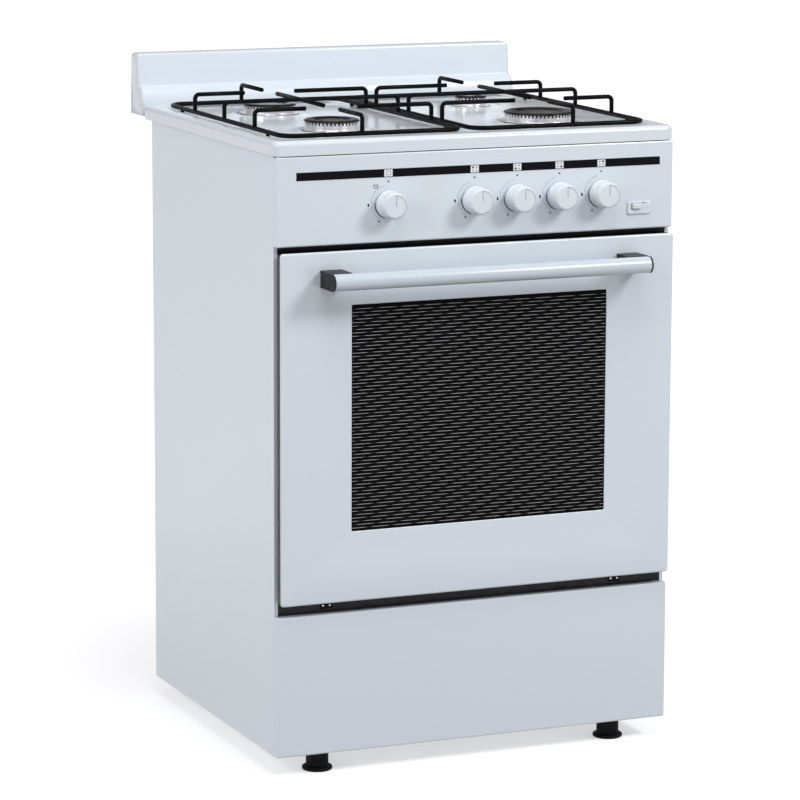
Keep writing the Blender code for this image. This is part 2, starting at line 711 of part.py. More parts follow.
def hob():
    """Pressed top: a round-edged skirt, a flat rim and a shallow recess with four burner holes."""
    front, rear, skin = -HOB_OVERHANG, HOB_DEPTH, SHEET
    edge, corner = 0.006, 0.012
    floor = HOB_TOP - RECESS_DROP
    rim, slope = 0.019, 0.005
    rim_front, rim_rear = front + 0.025, rear - 0.008

    def outer(inset, z, radius):
        return level(HOB_HALF - inset, front + inset, rear - inset, z, radius, 4)

    def pocket(inset, z, radius=0.025):
        return level(HOB_HALF - rim - inset, rim_front + inset, rim_rear - inset, z, radius, 4)

    loops = [
        pocket(slope, floor - skin),
        pocket(0.0, HOB_TOP - skin),
        outer(skin, HOB_TOP - edge, corner - skin),
        outer(skin, HOB_BOTTOM, corner - skin),
        outer(0.0, HOB_BOTTOM, corner),
        outer(0.0, HOB_TOP - edge, corner),
        outer(0.3 * edge, HOB_TOP - 0.3 * edge, corner - 0.3 * edge),
        outer(edge, HOB_TOP, corner - edge),
        pocket(0.0, HOB_TOP),
        pocket(slope, floor),
    ]
    top = add_piece("hob_top", loft(loops), WHITE, at(0, front, HOB_BOTTOM))
    holes = []
    for x, depth, (_, _, _, cup) in BURNERS.values():
        holes.append(turned_upright(x, depth, ((cup + 0.0015, floor - 0.005), (cup + 0.0015, floor + 0.005))))
    combine(top, "DIFFERENCE", holes)


def backsplash():
    """Folded upstand behind the hob, with a cove at its foot, open underneath."""
    foot_front, cove_top = HOB_DEPTH + 0.0006, HOB_TOP + 0.026
    face_low, face_top, rear_top = 0.5395, 0.5450, 0.5724
    run, rise, steps = face_low - foot_front, cove_top - HOB_TOP, 4
    turns = [math.pi / 2 * k / steps for k in range(1, steps + 1)]
    cove = [(face_low - run * math.cos(a), cove_top - rise * (1 - math.sin(a))) for a in turns]
    base = HOB_BOTTOM + 0.003
    round_edge = 0.003
    profile = [
        (foot_front, base),
        (foot_front, HOB_TOP),
        *cove,
        (face_top - 0.0003, BACKSPLASH_TOP - round_edge),
        (face_top + round_edge, BACKSPLASH_TOP),
        (rear_top - round_edge, BACKSPLASH_TOP),
        (rear_top, BACKSPLASH_TOP - round_edge),
        (BACKSPLASH_REAR, base),
    ]
    upstand = loft([[at(x, depth, z) for depth, z in profile] for x in (-BACKSPLASH_HALF, BACKSPLASH_HALF)])
    piece = add_piece("backsplash", upstand, WHITE, at(0, BACKSPLASH_REAR, base))
    inside = [
        (foot_front + SHEET, base - 0.01),
        (foot_front + SHEET, HOB_TOP - SHEET),
        (face_low + 0.002, cove_top - 0.001),
        (face_top + 0.002, BACKSPLASH_TOP - 0.004),
        (rear_top - 0.002, BACKSPLASH_TOP - 0.004),
        (BACKSPLASH_REAR - SHEET, HOB_TOP),
        (BACKSPLASH_REAR - SHEET, base - 0.01),
    ]
    reach = BACKSPLASH_HALF - SHEET
    combine(piece, "DIFFERENCE", [loft([[at(x, depth, z) for depth, z in inside] for x in (-reach, reach)])])


def burner(place, x, depth, sizes):
    """Aluminium crown with its cup through the hob, and the enamelled cap that rests on it."""
    crown, cap, base, cup = sizes
    seat = HOB_TOP - RECESS_DROP + GAP
    crown_top = seat + 0.0112
    crown_profile = (
        (cup, 0.846),
        (cup, seat),
        (base, seat),
        (base, seat + 0.0015),
        (crown, seat + 0.0032),
        (crown, crown_top),
        (crown - 0.006, crown_top),
        (crown - 0.007, crown_top - 0.004),
    )
    add_piece(f"burner_crown_{place}", turned_upright(x, depth, crown_profile), ALUMINIUM, at(x, depth, seat))
    under = crown_top + GAP
    cap_profile = (
        (crown - 0.0075, crown_top - 0.0032),
        (crown - 0.0068, under),
        (cap - 0.001, under),
        (cap, under + 0.001),
        (cap - 0.0015, under + 0.0038),
        (cap * 0.74, under + 0.0046),
        (cap * 0.66, under + 0.0030),
    )
    add_piece(f"burner_cap_{place}", turned_upright(x, depth, cap_profile), BLACK_ENAMEL, at(x, depth, under))


def pan_support(name, side):
    """Enamelled wire frame with bent fingers round two burners and a cross of bars between them."""
    outer, inner, middle = side * SUPPORT_OUTER, side * SUPPORT_INNER, side * BURNER_OFFSET
    centre, half = (outer + inner) / 2, abs(outer - inner) / 2
    depth_half = (SUPPORT_REAR - SUPPORT_FRONT) / 2
    depth_middle = (SUPPORT_REAR + SUPPORT_FRONT) / 2
    outline = rounded(half, depth_half, SUPPORT_CORNER, 4)
    frame = wire([at(centre + u, depth_middle + v, FRAME_HEIGHT) for u, v in outline], WIRE, closed=True)
    support = add_piece(name, frame, BLACK_ENAMEL, at(centre, depth_middle, FRAME_HEIGHT))
    bend, segments = 0.006, 2
    parts = []

    def bent(*points):
        parts.append(wire(rounded_path([at(*point) for point in points], bend, segments), FINGER_WIRE))

    for depth in (FRONT_BURNERS, REAR_BURNERS):
        for edge, tip in ((outer, middle + side * FINGER_TIP), (inner, middle - side * FINGER_TIP)):
            bent((edge, depth, FRAME_HEIGHT), (edge, depth, FINGER_HEIGHT), (tip, depth, FINGER_HEIGHT))
    for edge, tip in ((SUPPORT_FRONT, FRONT_BURNERS - BAR_TIP), (SUPPORT_REAR, REAR_BURNERS + BAR_TIP)):
        bent((middle, edge, FRAME_HEIGHT), (middle, edge, FINGER_HEIGHT), (middle, tip, FINGER_HEIGHT))
    cross = (FRONT_BURNERS + REAR_BURNERS) / 2
    arch = ((outer, FRAME_HEIGHT), (outer, FINGER_HEIGHT), (inner, FINGER_HEIGHT), (inner, FRAME_HEIGHT))
    bent(*[(x, cross, z) for x, z in arch])
    ends = (FRONT_BURNERS + BAR_TIP, REAR_BURNERS - BAR_TIP)
    parts.append(wire([at(middle, depth, FINGER_HEIGHT) for depth in ends], CROSS_WIRE))
    floor = HOB_TOP - RECESS_DROP + GAP
    for x in (outer, inner):
        for depth in (SUPPORT_FRONT + 0.06, SUPPORT_REAR - 0.06):
            parts.append(turned_upright(x, depth, ((0.0026, floor), (0.0026, FRAME_HEIGHT)), 8))
    combine(support, "UNION", parts)


def main():
    for item in list(bpy.data.objects):
        bpy.data.objects.remove(item)
    side_panel("side_panel_left", -1)
    side_panel("side_panel_right", 1)
    rear_panel()
    base_tray()
    for row, depth in FOOT_DEPTHS.items():
        foot(f"foot_{row}_left", -FOOT_OFFSET, depth)
        foot(f"foot_{row}_right", FOOT_OFFSET, depth)
    lower_front_panel()
    control_fascia()
    for place, x in TAPS.items():
        tap(place, x)
    ignition()
    gas_supply()
    oven_cavity()
    oven_floor_plate()
    oven_burner()
    rack_runner("rack_runner_left", -1)
    rack_runner("rack_runner_right", 1)
    oven_rack()
    door_gasket()
    door()
    hob()
    backsplash()
    for place, (x, depth, sizes) in BURNERS.items():
        burner(place, x, depth, sizes)
    pan_support("pan_support_left", -1)
    pan_support("pan_support_right", 1)


main()
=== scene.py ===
"""Looks of the freestanding gas range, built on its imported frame. Metres, +Z up, the front faces -Y."""

import math

import bmesh
import bpy
from mathutils import Matrix, Vector


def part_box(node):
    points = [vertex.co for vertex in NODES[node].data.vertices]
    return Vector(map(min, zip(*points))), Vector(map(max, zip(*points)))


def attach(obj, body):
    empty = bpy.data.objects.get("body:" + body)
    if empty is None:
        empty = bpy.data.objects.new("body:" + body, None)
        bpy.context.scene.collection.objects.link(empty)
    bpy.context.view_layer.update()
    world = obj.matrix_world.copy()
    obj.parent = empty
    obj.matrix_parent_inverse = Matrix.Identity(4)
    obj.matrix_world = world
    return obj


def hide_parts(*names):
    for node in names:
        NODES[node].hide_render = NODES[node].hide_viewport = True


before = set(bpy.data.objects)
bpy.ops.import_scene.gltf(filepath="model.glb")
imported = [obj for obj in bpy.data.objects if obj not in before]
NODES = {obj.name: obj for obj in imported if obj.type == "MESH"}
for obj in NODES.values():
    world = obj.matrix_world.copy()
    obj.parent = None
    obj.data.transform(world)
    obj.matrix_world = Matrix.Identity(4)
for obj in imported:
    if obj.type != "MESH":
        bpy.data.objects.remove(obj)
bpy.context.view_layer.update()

FASCIA_LOW, FASCIA_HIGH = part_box("control_fascia")
FASCIA_FACE = FASCIA_LOW.y
DOOR_LOW, DOOR_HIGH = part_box("door_outer_panel")
HOB_LOW, HOB_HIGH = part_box("hob_top")
TAPS = ("oven", "rear_left", "front_left", "front_right", "rear_right")
BURNERS = ("front_left", "rear_left", "front_right", "rear_right")
SIDES = {"left": -1, "right": 1}
HOB_CORNER = 0.014
RECESS = 0.004  # drop of the hob's recess below its rim
WIRE_HEIGHT = 0.8832  # centre line of the pan supports' frames
FINGER_TIP = 0.0385  # a side finger stops this far from its burner's centre
BAR_TIP = 0.030  # and a front or rear bar this far
WINDOW_LIP = 0.008  # the door pan covers this much of the glass
PRINT_BACK = 0.0001  # printed marks start this far inside the fascia's face
FOOT_STEM = 0.0152
FOOT_RIBS = 0.0150  # the ribs' axes lie this far from the foot's
RIB_COUNT = 12


# ---------------------------------------------------------------- meshes


def make(name, shape, surface, body, angle=35, replaces=()):
    """One piece from a shape in world coordinates, riding on a body."""
    bmesh.ops.recalc_face_normals(shape, faces=shape.faces)
    mesh = bpy.data.meshes.new(name)
    shape.to_mesh(mesh)
    shape.free()
    mesh.shade_smooth()
    mesh.set_sharp_from_angle(angle=math.radians(angle))
    piece = bpy.data.objects.new(name, mesh)
    bpy.context.scene.collection.objects.link(piece)
    piece.data.materials.append(surface)
    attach(piece, body)
    if replaces:
        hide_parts(*replaces)
    return piece


def skin(shape, loops, ring=False):
    """Adds a skin over loops of equal count, capped at its ends or closed on itself."""
    rows = [[shape.verts.new(point) for point in loop] for loop in loops]
    pairs = list(zip(rows, rows[1:]))
    if ring:
        pairs.append((rows[-1], rows[0]))
    for row, following in pairs:
        for i in range(len(row)):
            j = (i + 1) % len(row)
            shape.faces.new((row[i], row[j], following[j], following[i]))
    if not ring:
        for row in (rows[0], rows[-1]):
            shape.faces.new(row)


def slab(shape, low, high):
    """Adds a box between two corners."""
    (x0, y0, z0), (x1, y1, z1) = low, high
    corners = ((x0, z0), (x1, z0), (x1, z1), (x0, z1))
    skin(shape, [[Vector((x, y, z)) for x, z in corners] for y in (y0, y1)])


def turned(shape, origin, axis, profile, sides=64):
    """Adds a shape turned about an axis through the origin, from (radius, distance) pairs."""
    axis = Vector(axis).normalized()
    across = axis.orthogonal().normalized()
    other = axis.cross(across)
    loops = []
    for radius, along in profile:
        centre = Vector(origin) + axis * along
        angles = [2 * math.pi * k / sides for k in range(sides)]
        loops.append([centre + across * radius * math.cos(a) + other * radius * math.sin(a) for a in angles])
    skin(shape, loops)


def fillet(corners, segments=4):
    """A profile with its corners rounded, from (u, v, radius) triples; the ends stay sharp."""
    points = [Vector(corners[0][:2])]
    for (u0, v0, _), (u1, v1, radius), (u2, v2, _) in zip(corners, corners[1:], corners[2:]):
        corner = Vector((u1, v1))
        back = (Vector((u0, v0)) - corner).normalized()
        ahead = (Vector((u2, v2)) - corner).normalized()
        if not radius or back.dot(ahead) < -0.999:
            points.append(corner)
            continue
        for step in range(segments + 1):
            t = step / segments
            start, end = corner + back * radius, corner + ahead * radius
            points.append((1 - t) ** 2 * start + 2 * t * (1 - t) * corner + t * t * end)
    points.append(Vector(corners[-1][:2]))
    return [tuple(point) for point in points]


def rounded(half_u, half_v, radius, segments=8):
    """The outline of a rounded rectangle about the origin."""
    points = []
    for quarter, (side_u, side_v) in enumerate(((1, 1), (-1, 1), (-1, -1), (1, -1))):
        for step in range(segments + 1):
            angle = math.pi / 2 * (quarter + step / segments)
            u = side_u * (half_u - radius) + radius * math.cos(angle)
            points.append((u, side_v * (half_v - radius) + radius * math.sin(angle)))
    return points


def upright(x0, x1, z0, z1, y, radius):
    """A rounded rectangle that faces the viewer."""
    middle_x, middle_z = (x0 + x1) / 2, (z0 + z1) / 2
    return [
        Vector((middle_x + u, y, middle_z + v))
        for u, v in rounded((x1 - x0) / 2, (z1 - z0) / 2, radius)
    ]


def bend(points, radius, segments=6):
    """A path with its inner corners turned into arcs."""
    points = [Vector(point) for point in points]
    path = [points[0]]
    for before, corner, after in zip(points, points[1:], points[2:]):
        back, ahead = (before - corner).normalized(), (after - corner).normalized()
        turn = back.angle(ahead)
        start = corner + back * radius / math.tan(turn / 2)
        centre = corner + (back + ahead).normalized() * radius / math.sin(turn / 2)
        arm = start - centre
        for step in range(segments + 1):
            angle = (math.pi - turn) * step / segments
            path.append(centre + arm * math.cos(angle) - back * radius * math.sin(angle))
    path.append(points[-1])
    return path


def wire(shape, path, radius, closed=False, sides=16, soft_end=0.0):
    """Adds a round wire along a path, with its ends eased over by soft_end."""
    count = len(path)
    frames = []
    across = None
    for i, point in enumerate(path):
        before = path[i - 1] if closed or i else point
        after = path[(i + 1) % count] if closed or i + 1 < count else point
        along = (after - before).normalized()
        if across is None:
            across = along.orthogonal().normalized()
            if closed:
                across = Vector((0, 0, 1))
        across = (across - along * across.dot(along)).normalized()
        mitre = 1.0
        if closed or 0 < i < count - 1:
            mitre = 1 / math.cos((point - before).angle(after - point) / 2)
        frames.append((point, along, across.copy(), mitre))
    sections = [(point, across, along.cross(across), radius) for point, along, across, mitre in frames]
    if soft_end and not closed:
        (first, along_first), (last, along_last) = (frames[0][:2], frames[-1][:2])
        head, tail = sections[0], sections[-1]
        eased = radius - soft_end
        sections[0] = (first + along_first * soft_end, *head[1:])
        sections[-1] = (last - along_last * soft_end, *tail[1:])
        sections.insert(0, (first, head[1], head[2], eased))
        sections.append((last, tail[1], tail[2], eased))
    loops = []
    for centre, u, v, r in sections:
        angles = [2 * math.pi * k / sides for k in range(sides)]
        loops.append([centre + u * r * math.cos(a) + v * r * math.sin(a) for a in angles])
    skin(shape, loops, ring=closed)


def gear(shape, centre, inner, outer, low, high, teeth, duty=0.6):
    """Adds a ring of teeth round a vertical axis."""
    outline = []
    pitch = 2 * math.pi / teeth
    tooth_profile = ((0.0, outer), (duty / 2, outer), (duty, outer), (duty + 0.02, inner), (0.98, inner))
    for tooth in range(teeth):
        start = 2 * math.pi * tooth / teeth
        for share, radius in tooth_profile:
            angle = start + share * pitch
            outline.append((radius * math.cos(angle), radius * math.sin(angle)))
    skin(shape, [[Vector((centre.x + u, centre.y + v, z)) for u, v in outline] for z in (low, high)])


def arc_mark(shape, x, z, y, radius, width, start, end, thickness=0.0002):
    """Adds a thin arc on an upright face, for printed marks and for painted shade; angles run anticlockwise
    from the top, in degrees.
    """
    steps = max(2, int(abs(end - start) / 6))
    near, far = radius - width / 2, radius + width / 2
    section = ((near, y), (far, y), (far, y - thickness), (near, y - thickness))
    rows = []
    for step in range(steps + 1):
        angle = math.radians(start + (end - start) * step / steps)
        u, v = -math.sin(angle), math.cos(angle)
        rows.append([Vector((x + u * r, face, z + v * r)) for r, face in section])
    skin(shape, rows)


# ---------------------------------------------------------------- surfaces


class Surface:
    """A procedural material: its Principled shader, and short calls for the nodes that feed it."""

    def __init__(self, name, **uniform):
        self.material = bpy.data.materials.new(name)
        self.material.use_nodes = True
        self.tree = self.material.node_tree
        self.shader = self.tree.nodes["Principled BSDF"]
        for socket, value in uniform.items():
            self.shader.inputs[socket.replace("_", " ")].default_value = value
        self.place = self.node("ShaderNodeTexCoord").outputs["Object"]

    def node(self, kind, **settings):
        made = self.tree.nodes.new(kind)
        for key, value in settings.items():
            setattr(made, key, value)
        return made

    def feed(self, socket, value):
        if isinstance(value, bpy.types.NodeSocket):
            self.tree.links.new(value, socket)
        else:
            socket.default_value = value

    def stretched(self, scale):
        mapping = self.node("ShaderNodeMapping")
        self.feed(mapping.inputs["Vector"], self.place)
        mapping.inputs["Scale"].default_value = scale
        return mapping.outputs["Vector"]

    def noise(self, scale, detail=4.0, roughness=0.55, stretch=None):
        made = self.node("ShaderNodeTexNoise")
        self.feed(made.inputs["Vector"], self.stretched(stretch) if stretch else self.place)
        made.inputs["Scale"].default_value = scale
        made.inputs["Detail"].default_value = detail
        made.inputs["Roughness"].default_value = roughness
        return made.outputs["Fac"]

    def cells(self, scale):
        made = self.node("ShaderNodeTexVoronoi")
        self.feed(made.inputs["Vector"], self.place)
        made.inputs["Scale"].default_value = scale
        return made

    def axis(self, index):
        split = self.node("ShaderNodeSeparateXYZ")
        self.feed(split.inputs[0], self.place)
        return split.outputs[index]

    def ramp(self, value, *stops):
        made = self.node("ShaderNodeValToRGB")
        elements = made.color_ramp.elements
        while len(elements) < len(stops):
            elements.new(0.5)
        for element, (position, colour) in zip(elements, stops):
            element.position = position
            element.color = (*colour, 1.0) if isinstance(colour, tuple) else (colour, colour, colour, 1.0)
        self.feed(made.inputs["Fac"], value)
        return made.outputs["Color"]

    def spread(self, value, low, high, start=0.35, end=0.65):
        """Maps a noise value onto a range of numbers."""
        made = self.node("ShaderNodeMapRange")
        self.feed(made.inputs["Value"], value)
        made.inputs["From Min"].default_value = start
        made.inputs["From Max"].default_value = end
        made.inputs["To Min"].default_value = low
        made.inputs["To Max"].default_value = high
        return made.outputs["Result"]

    def maths(self, operation, a, b=0.0):
        made = self.node("ShaderNodeMath", operation=operation)
        self.feed(made.inputs[0], a)
        self.feed(made.inputs[1], b)
        return made.outputs[0]

    def blend(self, factor, a, b):
        made = self.node("ShaderNodeMix", data_type="RGBA")
        self.feed(made.inputs[0], factor)
        self.feed(made.inputs[6], a if isinstance(a, bpy.types.NodeSocket) else (*a, 1.0))
        self.feed(made.inputs[7], b if isinstance(b, bpy.types.NodeSocket) else (*b, 1.0))
        return made.outputs[2]

    def colour(self, value):
        self.feed(self.shader.inputs["Base Color"], value)

    def rough(self, value):
        self.feed(self.shader.inputs["Roughness"], value)

    def bump(self, height, distance, strength=0.4):
        made = self.node("ShaderNodeBump")
        made.inputs["Strength"].default_value = strength
        made.inputs["Distance"].default_value = distance
        self.feed(made.inputs["Height"], height)
        self.feed(self.shader.inputs["Normal"], made.outputs["Normal"])


def enamel(name, light, dark, rough=(0.215, 0.265), wear=0.0):
    """Vitreous enamel: faint clouding, fine specks, orange peel and a glossy coat."""
    surface = Surface(name, Coat_Weight=0.3, Coat_Roughness=0.14, Specular_IOR_Level=0.4)
    tone = surface.ramp(surface.noise(2.2, 4.0, 0.5), (0.2, dark), (0.8, light))
    speck = surface.ramp(surface.noise(900.0, 2.0, 0.5), (0.24, 1.0), (0.30, 0.0))
    marked = surface.blend(surface.maths("MULTIPLY", speck, 0.03 + wear), tone, tuple(0.55 * c for c in dark))
    surface.colour(marked)
    surface.rough(surface.spread(surface.noise(9.0, 4.0, 0.5), *rough, 0.2, 0.8))
    surface.bump(surface.noise(300.0, 2.0, 0.5), 0.00005, 0.08)
    return surface.material


def black_enamel(name, tint, worn, rough=(0.26, 0.44), gloss=0.25):
    """Black enamel with a greyed, heat-dulled film in patches."""
    surface = Surface(name, Specular_IOR_Level=gloss)
    patches = surface.noise(60.0, 6.0, 0.7)
    surface.colour(surface.ramp(patches, (0.45, tint), (0.80, worn)))
    surface.rough(surface.spread(surface.noise(140.0, 4.0), *rough))
    surface.bump(surface.noise(900.0, 3.0), 0.00008, 0.3)
    return surface.material


def plastic(name, light, dark, rough=(0.32, 0.46), grain=1600.0, gloss=0.4):
    """Moulded plastic: very fine grain and a slightly uneven sheen."""
    surface = Surface(name, Specular_IOR_Level=gloss)
    surface.colour(surface.ramp(surface.noise(35.0, 4.0), (0.35, dark), (0.65, light)))
    surface.rough(surface.spread(surface.noise(90.0, 4.0), *rough))
    surface.bump(surface.noise(grain, 2.0), 0.00006, 0.5)
    return surface.material


def metal(name, light, dark, rough=(0.25, 0.42), stretch=(1.0, 1.0, 1.0), scale=260.0, stain=None, share=1.0):
    """Bare metal with drawn or brushed streaks and, where asked, a heat stain; on the cast crowns the streaks
    are painted reflection.
    """
    surface = Surface(name, Metallic=share)
    streaks = surface.noise(scale, 6.0, 0.65, stretch)
    tone = surface.ramp(streaks, (0.36, dark), (0.60, light))
    if stain:
        tone = surface.blend(surface.spread(surface.noise(45.0, 5.0), 0.0, 0.45, 0.50, 0.80), tone, stain)
    surface.colour(tone)
    surface.rough(surface.spread(streaks, rough[1], rough[0]))
    surface.bump(streaks, 0.00005, 0.5)
    return surface.material


def zinc(name):
    """Galvanised sheet: angular spangle under a dull film."""
    surface = Surface(name, Metallic=0.85)
    spangle = surface.cells(70.0).outputs["Color"]
    tone = surface.ramp(spangle, (0.15, (0.50, 0.515, 0.52)), (0.85, (0.58, 0.60, 0.61)))
    film = surface.noise(9.0, 6.0, 0.7)
    surface.colour(surface.blend(surface.spread(film, 0.0, 0.35), tone, (0.50, 0.51, 0.51)))
    surface.rough(surface.spread(surface.noise(50.0, 5.0), 0.38, 0.60))
    surface.bump(surface.noise(300.0, 4.0), 0.00008, 0.4)
    return surface.material


def window_glass(name, low, high):
    """Black glass with fine pale printed lines, each broken into dashes, inside a plain margin."""
    surface = Surface(name, Specular_IOR_Level=0.03)
    pitch, dash, shift = 0.00466, 0.0336, -0.0110
    margin_x, margin_z = 0.0010, 0.0034
    middle_x, middle_z = (low.x + high.x) / 2, (low.z + high.z) / 2
    x, z = surface.axis(0), surface.axis(2)
    row = surface.maths("DIVIDE", z, pitch)
    crest = surface.maths("ABSOLUTE", surface.maths("SUBTRACT", surface.maths("FRACT", row), 0.5))
    line = surface.spread(crest, 1.0, 0.0, 0.040, 0.080)
    slide = surface.maths("MULTIPLY", surface.maths("FLOOR", row), shift)
    along = surface.maths("DIVIDE", surface.maths("ADD", x, slide), dash)
    drift = surface.maths("MULTIPLY", surface.noise(14.0, 3.0), 0.3)
    wave = surface.maths("FRACT", surface.maths("ADD", along, drift))
    gap = surface.maths("ABSOLUTE", surface.maths("SUBTRACT", wave, 0.5))
    broken = surface.spread(gap, 1.0, 0.08, 0.24, 0.44)
    off_x = surface.maths("ABSOLUTE", surface.maths("SUBTRACT", x, middle_x))
    off_z = surface.maths("ABSOLUTE", surface.maths("SUBTRACT", z, middle_z))
    inside_x = surface.maths("LESS_THAN", off_x, (high.x - low.x) / 2 - margin_x)
    inside_z = surface.maths("LESS_THAN", off_z, (high.z - low.z) / 2 - margin_z)
    field = surface.maths("MULTIPLY", inside_x, inside_z)
    mask = surface.maths("MULTIPLY", field, surface.maths("MULTIPLY", line, broken))
    clean, dusty = (0.0004, 0.0004, 0.0006), (0.0014, 0.0014, 0.0017)
    dust = surface.ramp(surface.noise(11.0, 6.0, 0.7), (0.4, clean), (0.8, dusty))
    surface.colour(surface.blend(mask, dust, (0.52, 0.52, 0.53)))
    surface.rough(surface.spread(surface.noise(30.0, 5.0), 0.10, 0.20))
    return surface.material


def dark_glass(name):
    """Tinted glass with a faint baked-on film."""
    surface = Surface(name, Specular_IOR_Level=0.45, Coat_Weight=0.2, Coat_Roughness=0.04)
    clean, filmed = (0.006, 0.006, 0.008), (0.018, 0.017, 0.016)
    surface.colour(surface.ramp(surface.noise(12.0, 5.0, 0.7), (0.4, clean), (0.8, filmed)))
    surface.rough(surface.spread(surface.noise(40.0, 5.0, 0.7), 0.05, 0.16))
    return surface.material


def seal_rope(name):
    """Woven glass-fibre seal."""
    surface = Surface(name, Specular_IOR_Level=0.15)
    weave = surface.cells(520.0).outputs["Distance"]
    surface.colour(surface.ramp(weave, (0.1, (0.07, 0.065, 0.06)), (0.7, (0.16, 0.155, 0.15))))
    surface.rough(surface.spread(surface.noise(200.0), 0.75, 0.95))
    surface.bump(weave, 0.0004, 0.8)
    return surface.material


def ink(name, tone, deep, rough=(0.30, 0.44), gloss=0.35):
    """Screen-printed ink, also used for the painted shade on the knobs' relief and the painted shadow arcs
    round the knobs: slightly uneven coverage.
    """
    surface = Surface(name, Specular_IOR_Level=gloss)
    surface.colour(surface.ramp(surface.noise(260.0, 4.0, 0.7), (0.35, deep), (0.65, tone)))
    surface.rough(surface.spread(surface.noise(400.0, 3.0), *rough))
    surface.bump(surface.noise(1200.0, 2.0), 0.00003, 0.4)
    return surface.material


WHITE = enamel("enamel_white", (0.694, 0.752, 0.812), (0.690, 0.748, 0.809))
WHITE_HOB = enamel("enamel_hob", (0.715, 0.762, 0.812), (0.700, 0.748, 0.800), (0.15, 0.25), 0.06)
WHITE_TUBE = enamel("lacquer_handle", (0.585, 0.640, 0.700), (0.575, 0.630, 0.690), (0.28, 0.36))
BLACK = black_enamel("enamel_black", (0.0015, 0.0015, 0.0022), (0.005, 0.005, 0.006), (0.32, 0.46), 0.08)
# the caps' own black enamel, also used for the painted shade and painted shadow at the burners
CAP_BLACK_AND_SHADE = black_enamel("enamel_cap_and_painted_shade", (0.003, 0.003, 0.004), (0.014, 0.014, 0.015), (0.16, 0.26), 0.30)
OVEN = black_enamel("enamel_oven", (0.004, 0.005, 0.007), (0.018, 0.018, 0.022), (0.30, 0.46), 0.22)
KNOB = plastic("plastic_white", (0.745, 0.790, 0.832), (0.730, 0.776, 0.822))
BRACKET = plastic("plastic_black", (0.007, 0.008, 0.011), (0.005, 0.006, 0.008), (0.36, 0.52), gloss=0.25)
FOOT = plastic("plastic_foot", (0.004, 0.004, 0.005), (0.002, 0.002, 0.003), (0.45, 0.62), 700.0, gloss=0.12)
# painted reflection: the tall light and dark streaks up the crowns' walls stand in for reflections on a
# bright cylinder
ALUMINIUM = metal("aluminium_cast", (0.97, 0.97, 0.98), (0.55, 0.55, 0.57), (0.16, 0.30), (1.0, 1.0, 0.10),
                  scale=120.0, stain=(0.50, 0.49, 0.48), share=0.55)
STEEL = metal("steel_plain", (0.66, 0.66, 0.67), (0.46, 0.46, 0.47), (0.26, 0.45), (1.0, 1.0, 0.2))
CHROME = metal("chrome_wire", (0.78, 0.78, 0.80), (0.62, 0.62, 0.64), (0.10, 0.22), (1.0, 0.1, 1.0))
BRASS = metal("brass_turned", (0.80, 0.60, 0.30), (0.58, 0.42, 0.18), (0.22, 0.40), (1.0, 3.0, 1.0),
              scale=300.0, stain=(0.35, 0.25, 0.14))
ZINC = zinc("galvanised_sheet")
SEAL = seal_rope("seal_rope")
GLASS_IN = dark_glass("glass_inner")
# black for the printed band and marks, and for the painted shadow arcs round the knobs
BLACK_PRINT_AND_SHADE = ink("ink_black_and_painted_shade", (0.0020, 0.0020, 0.0040), (0.0015, 0.0015, 0.0030), (0.36, 0.50), 0.08)
INK_WHITE = ink("ink_white", (0.78, 0.80, 0.82), (0.75, 0.77, 0.79))
INK_GREY = ink("ink_grey", (0.13, 0.14, 0.16), (0.09, 0.10, 0.12))
# painted shade: the grey of the knobs' raised grip line and half ring
PAINTED_RELIEF_SHADE = ink("knob_relief_painted_shade", (0.50, 0.53, 0.57), (0.46, 0.49, 0.53))


def paint(surface, *names):
    """Gives frame nodes their material and smooth shading."""
    for name in names:
        node = NODES[name]
        node.data.materials.clear()
        node.data.materials.append(surface)
        node.data.shade_smooth()
        node.data.set_sharp_from_angle(angle=math.radians(32))


def soften(width, *names):
    """Rounds the folded edges of sheet nodes."""
    for name in names:
        edge = NODES[name].modifiers.new("fold", "BEVEL")
        edge.width = width
        edge.segments = 2
        edge.limit_method = "ANGLE"
        edge.angle_limit = math.radians(40)
        edge.harden_normals = True


# ---------------------------------------------------------------- hob and upstand


def smooth_step(value, low, high):
    share = min(1.0, max(0.0, (value - low) / (high - low)))
    return share * share * (3 - 2 * share)


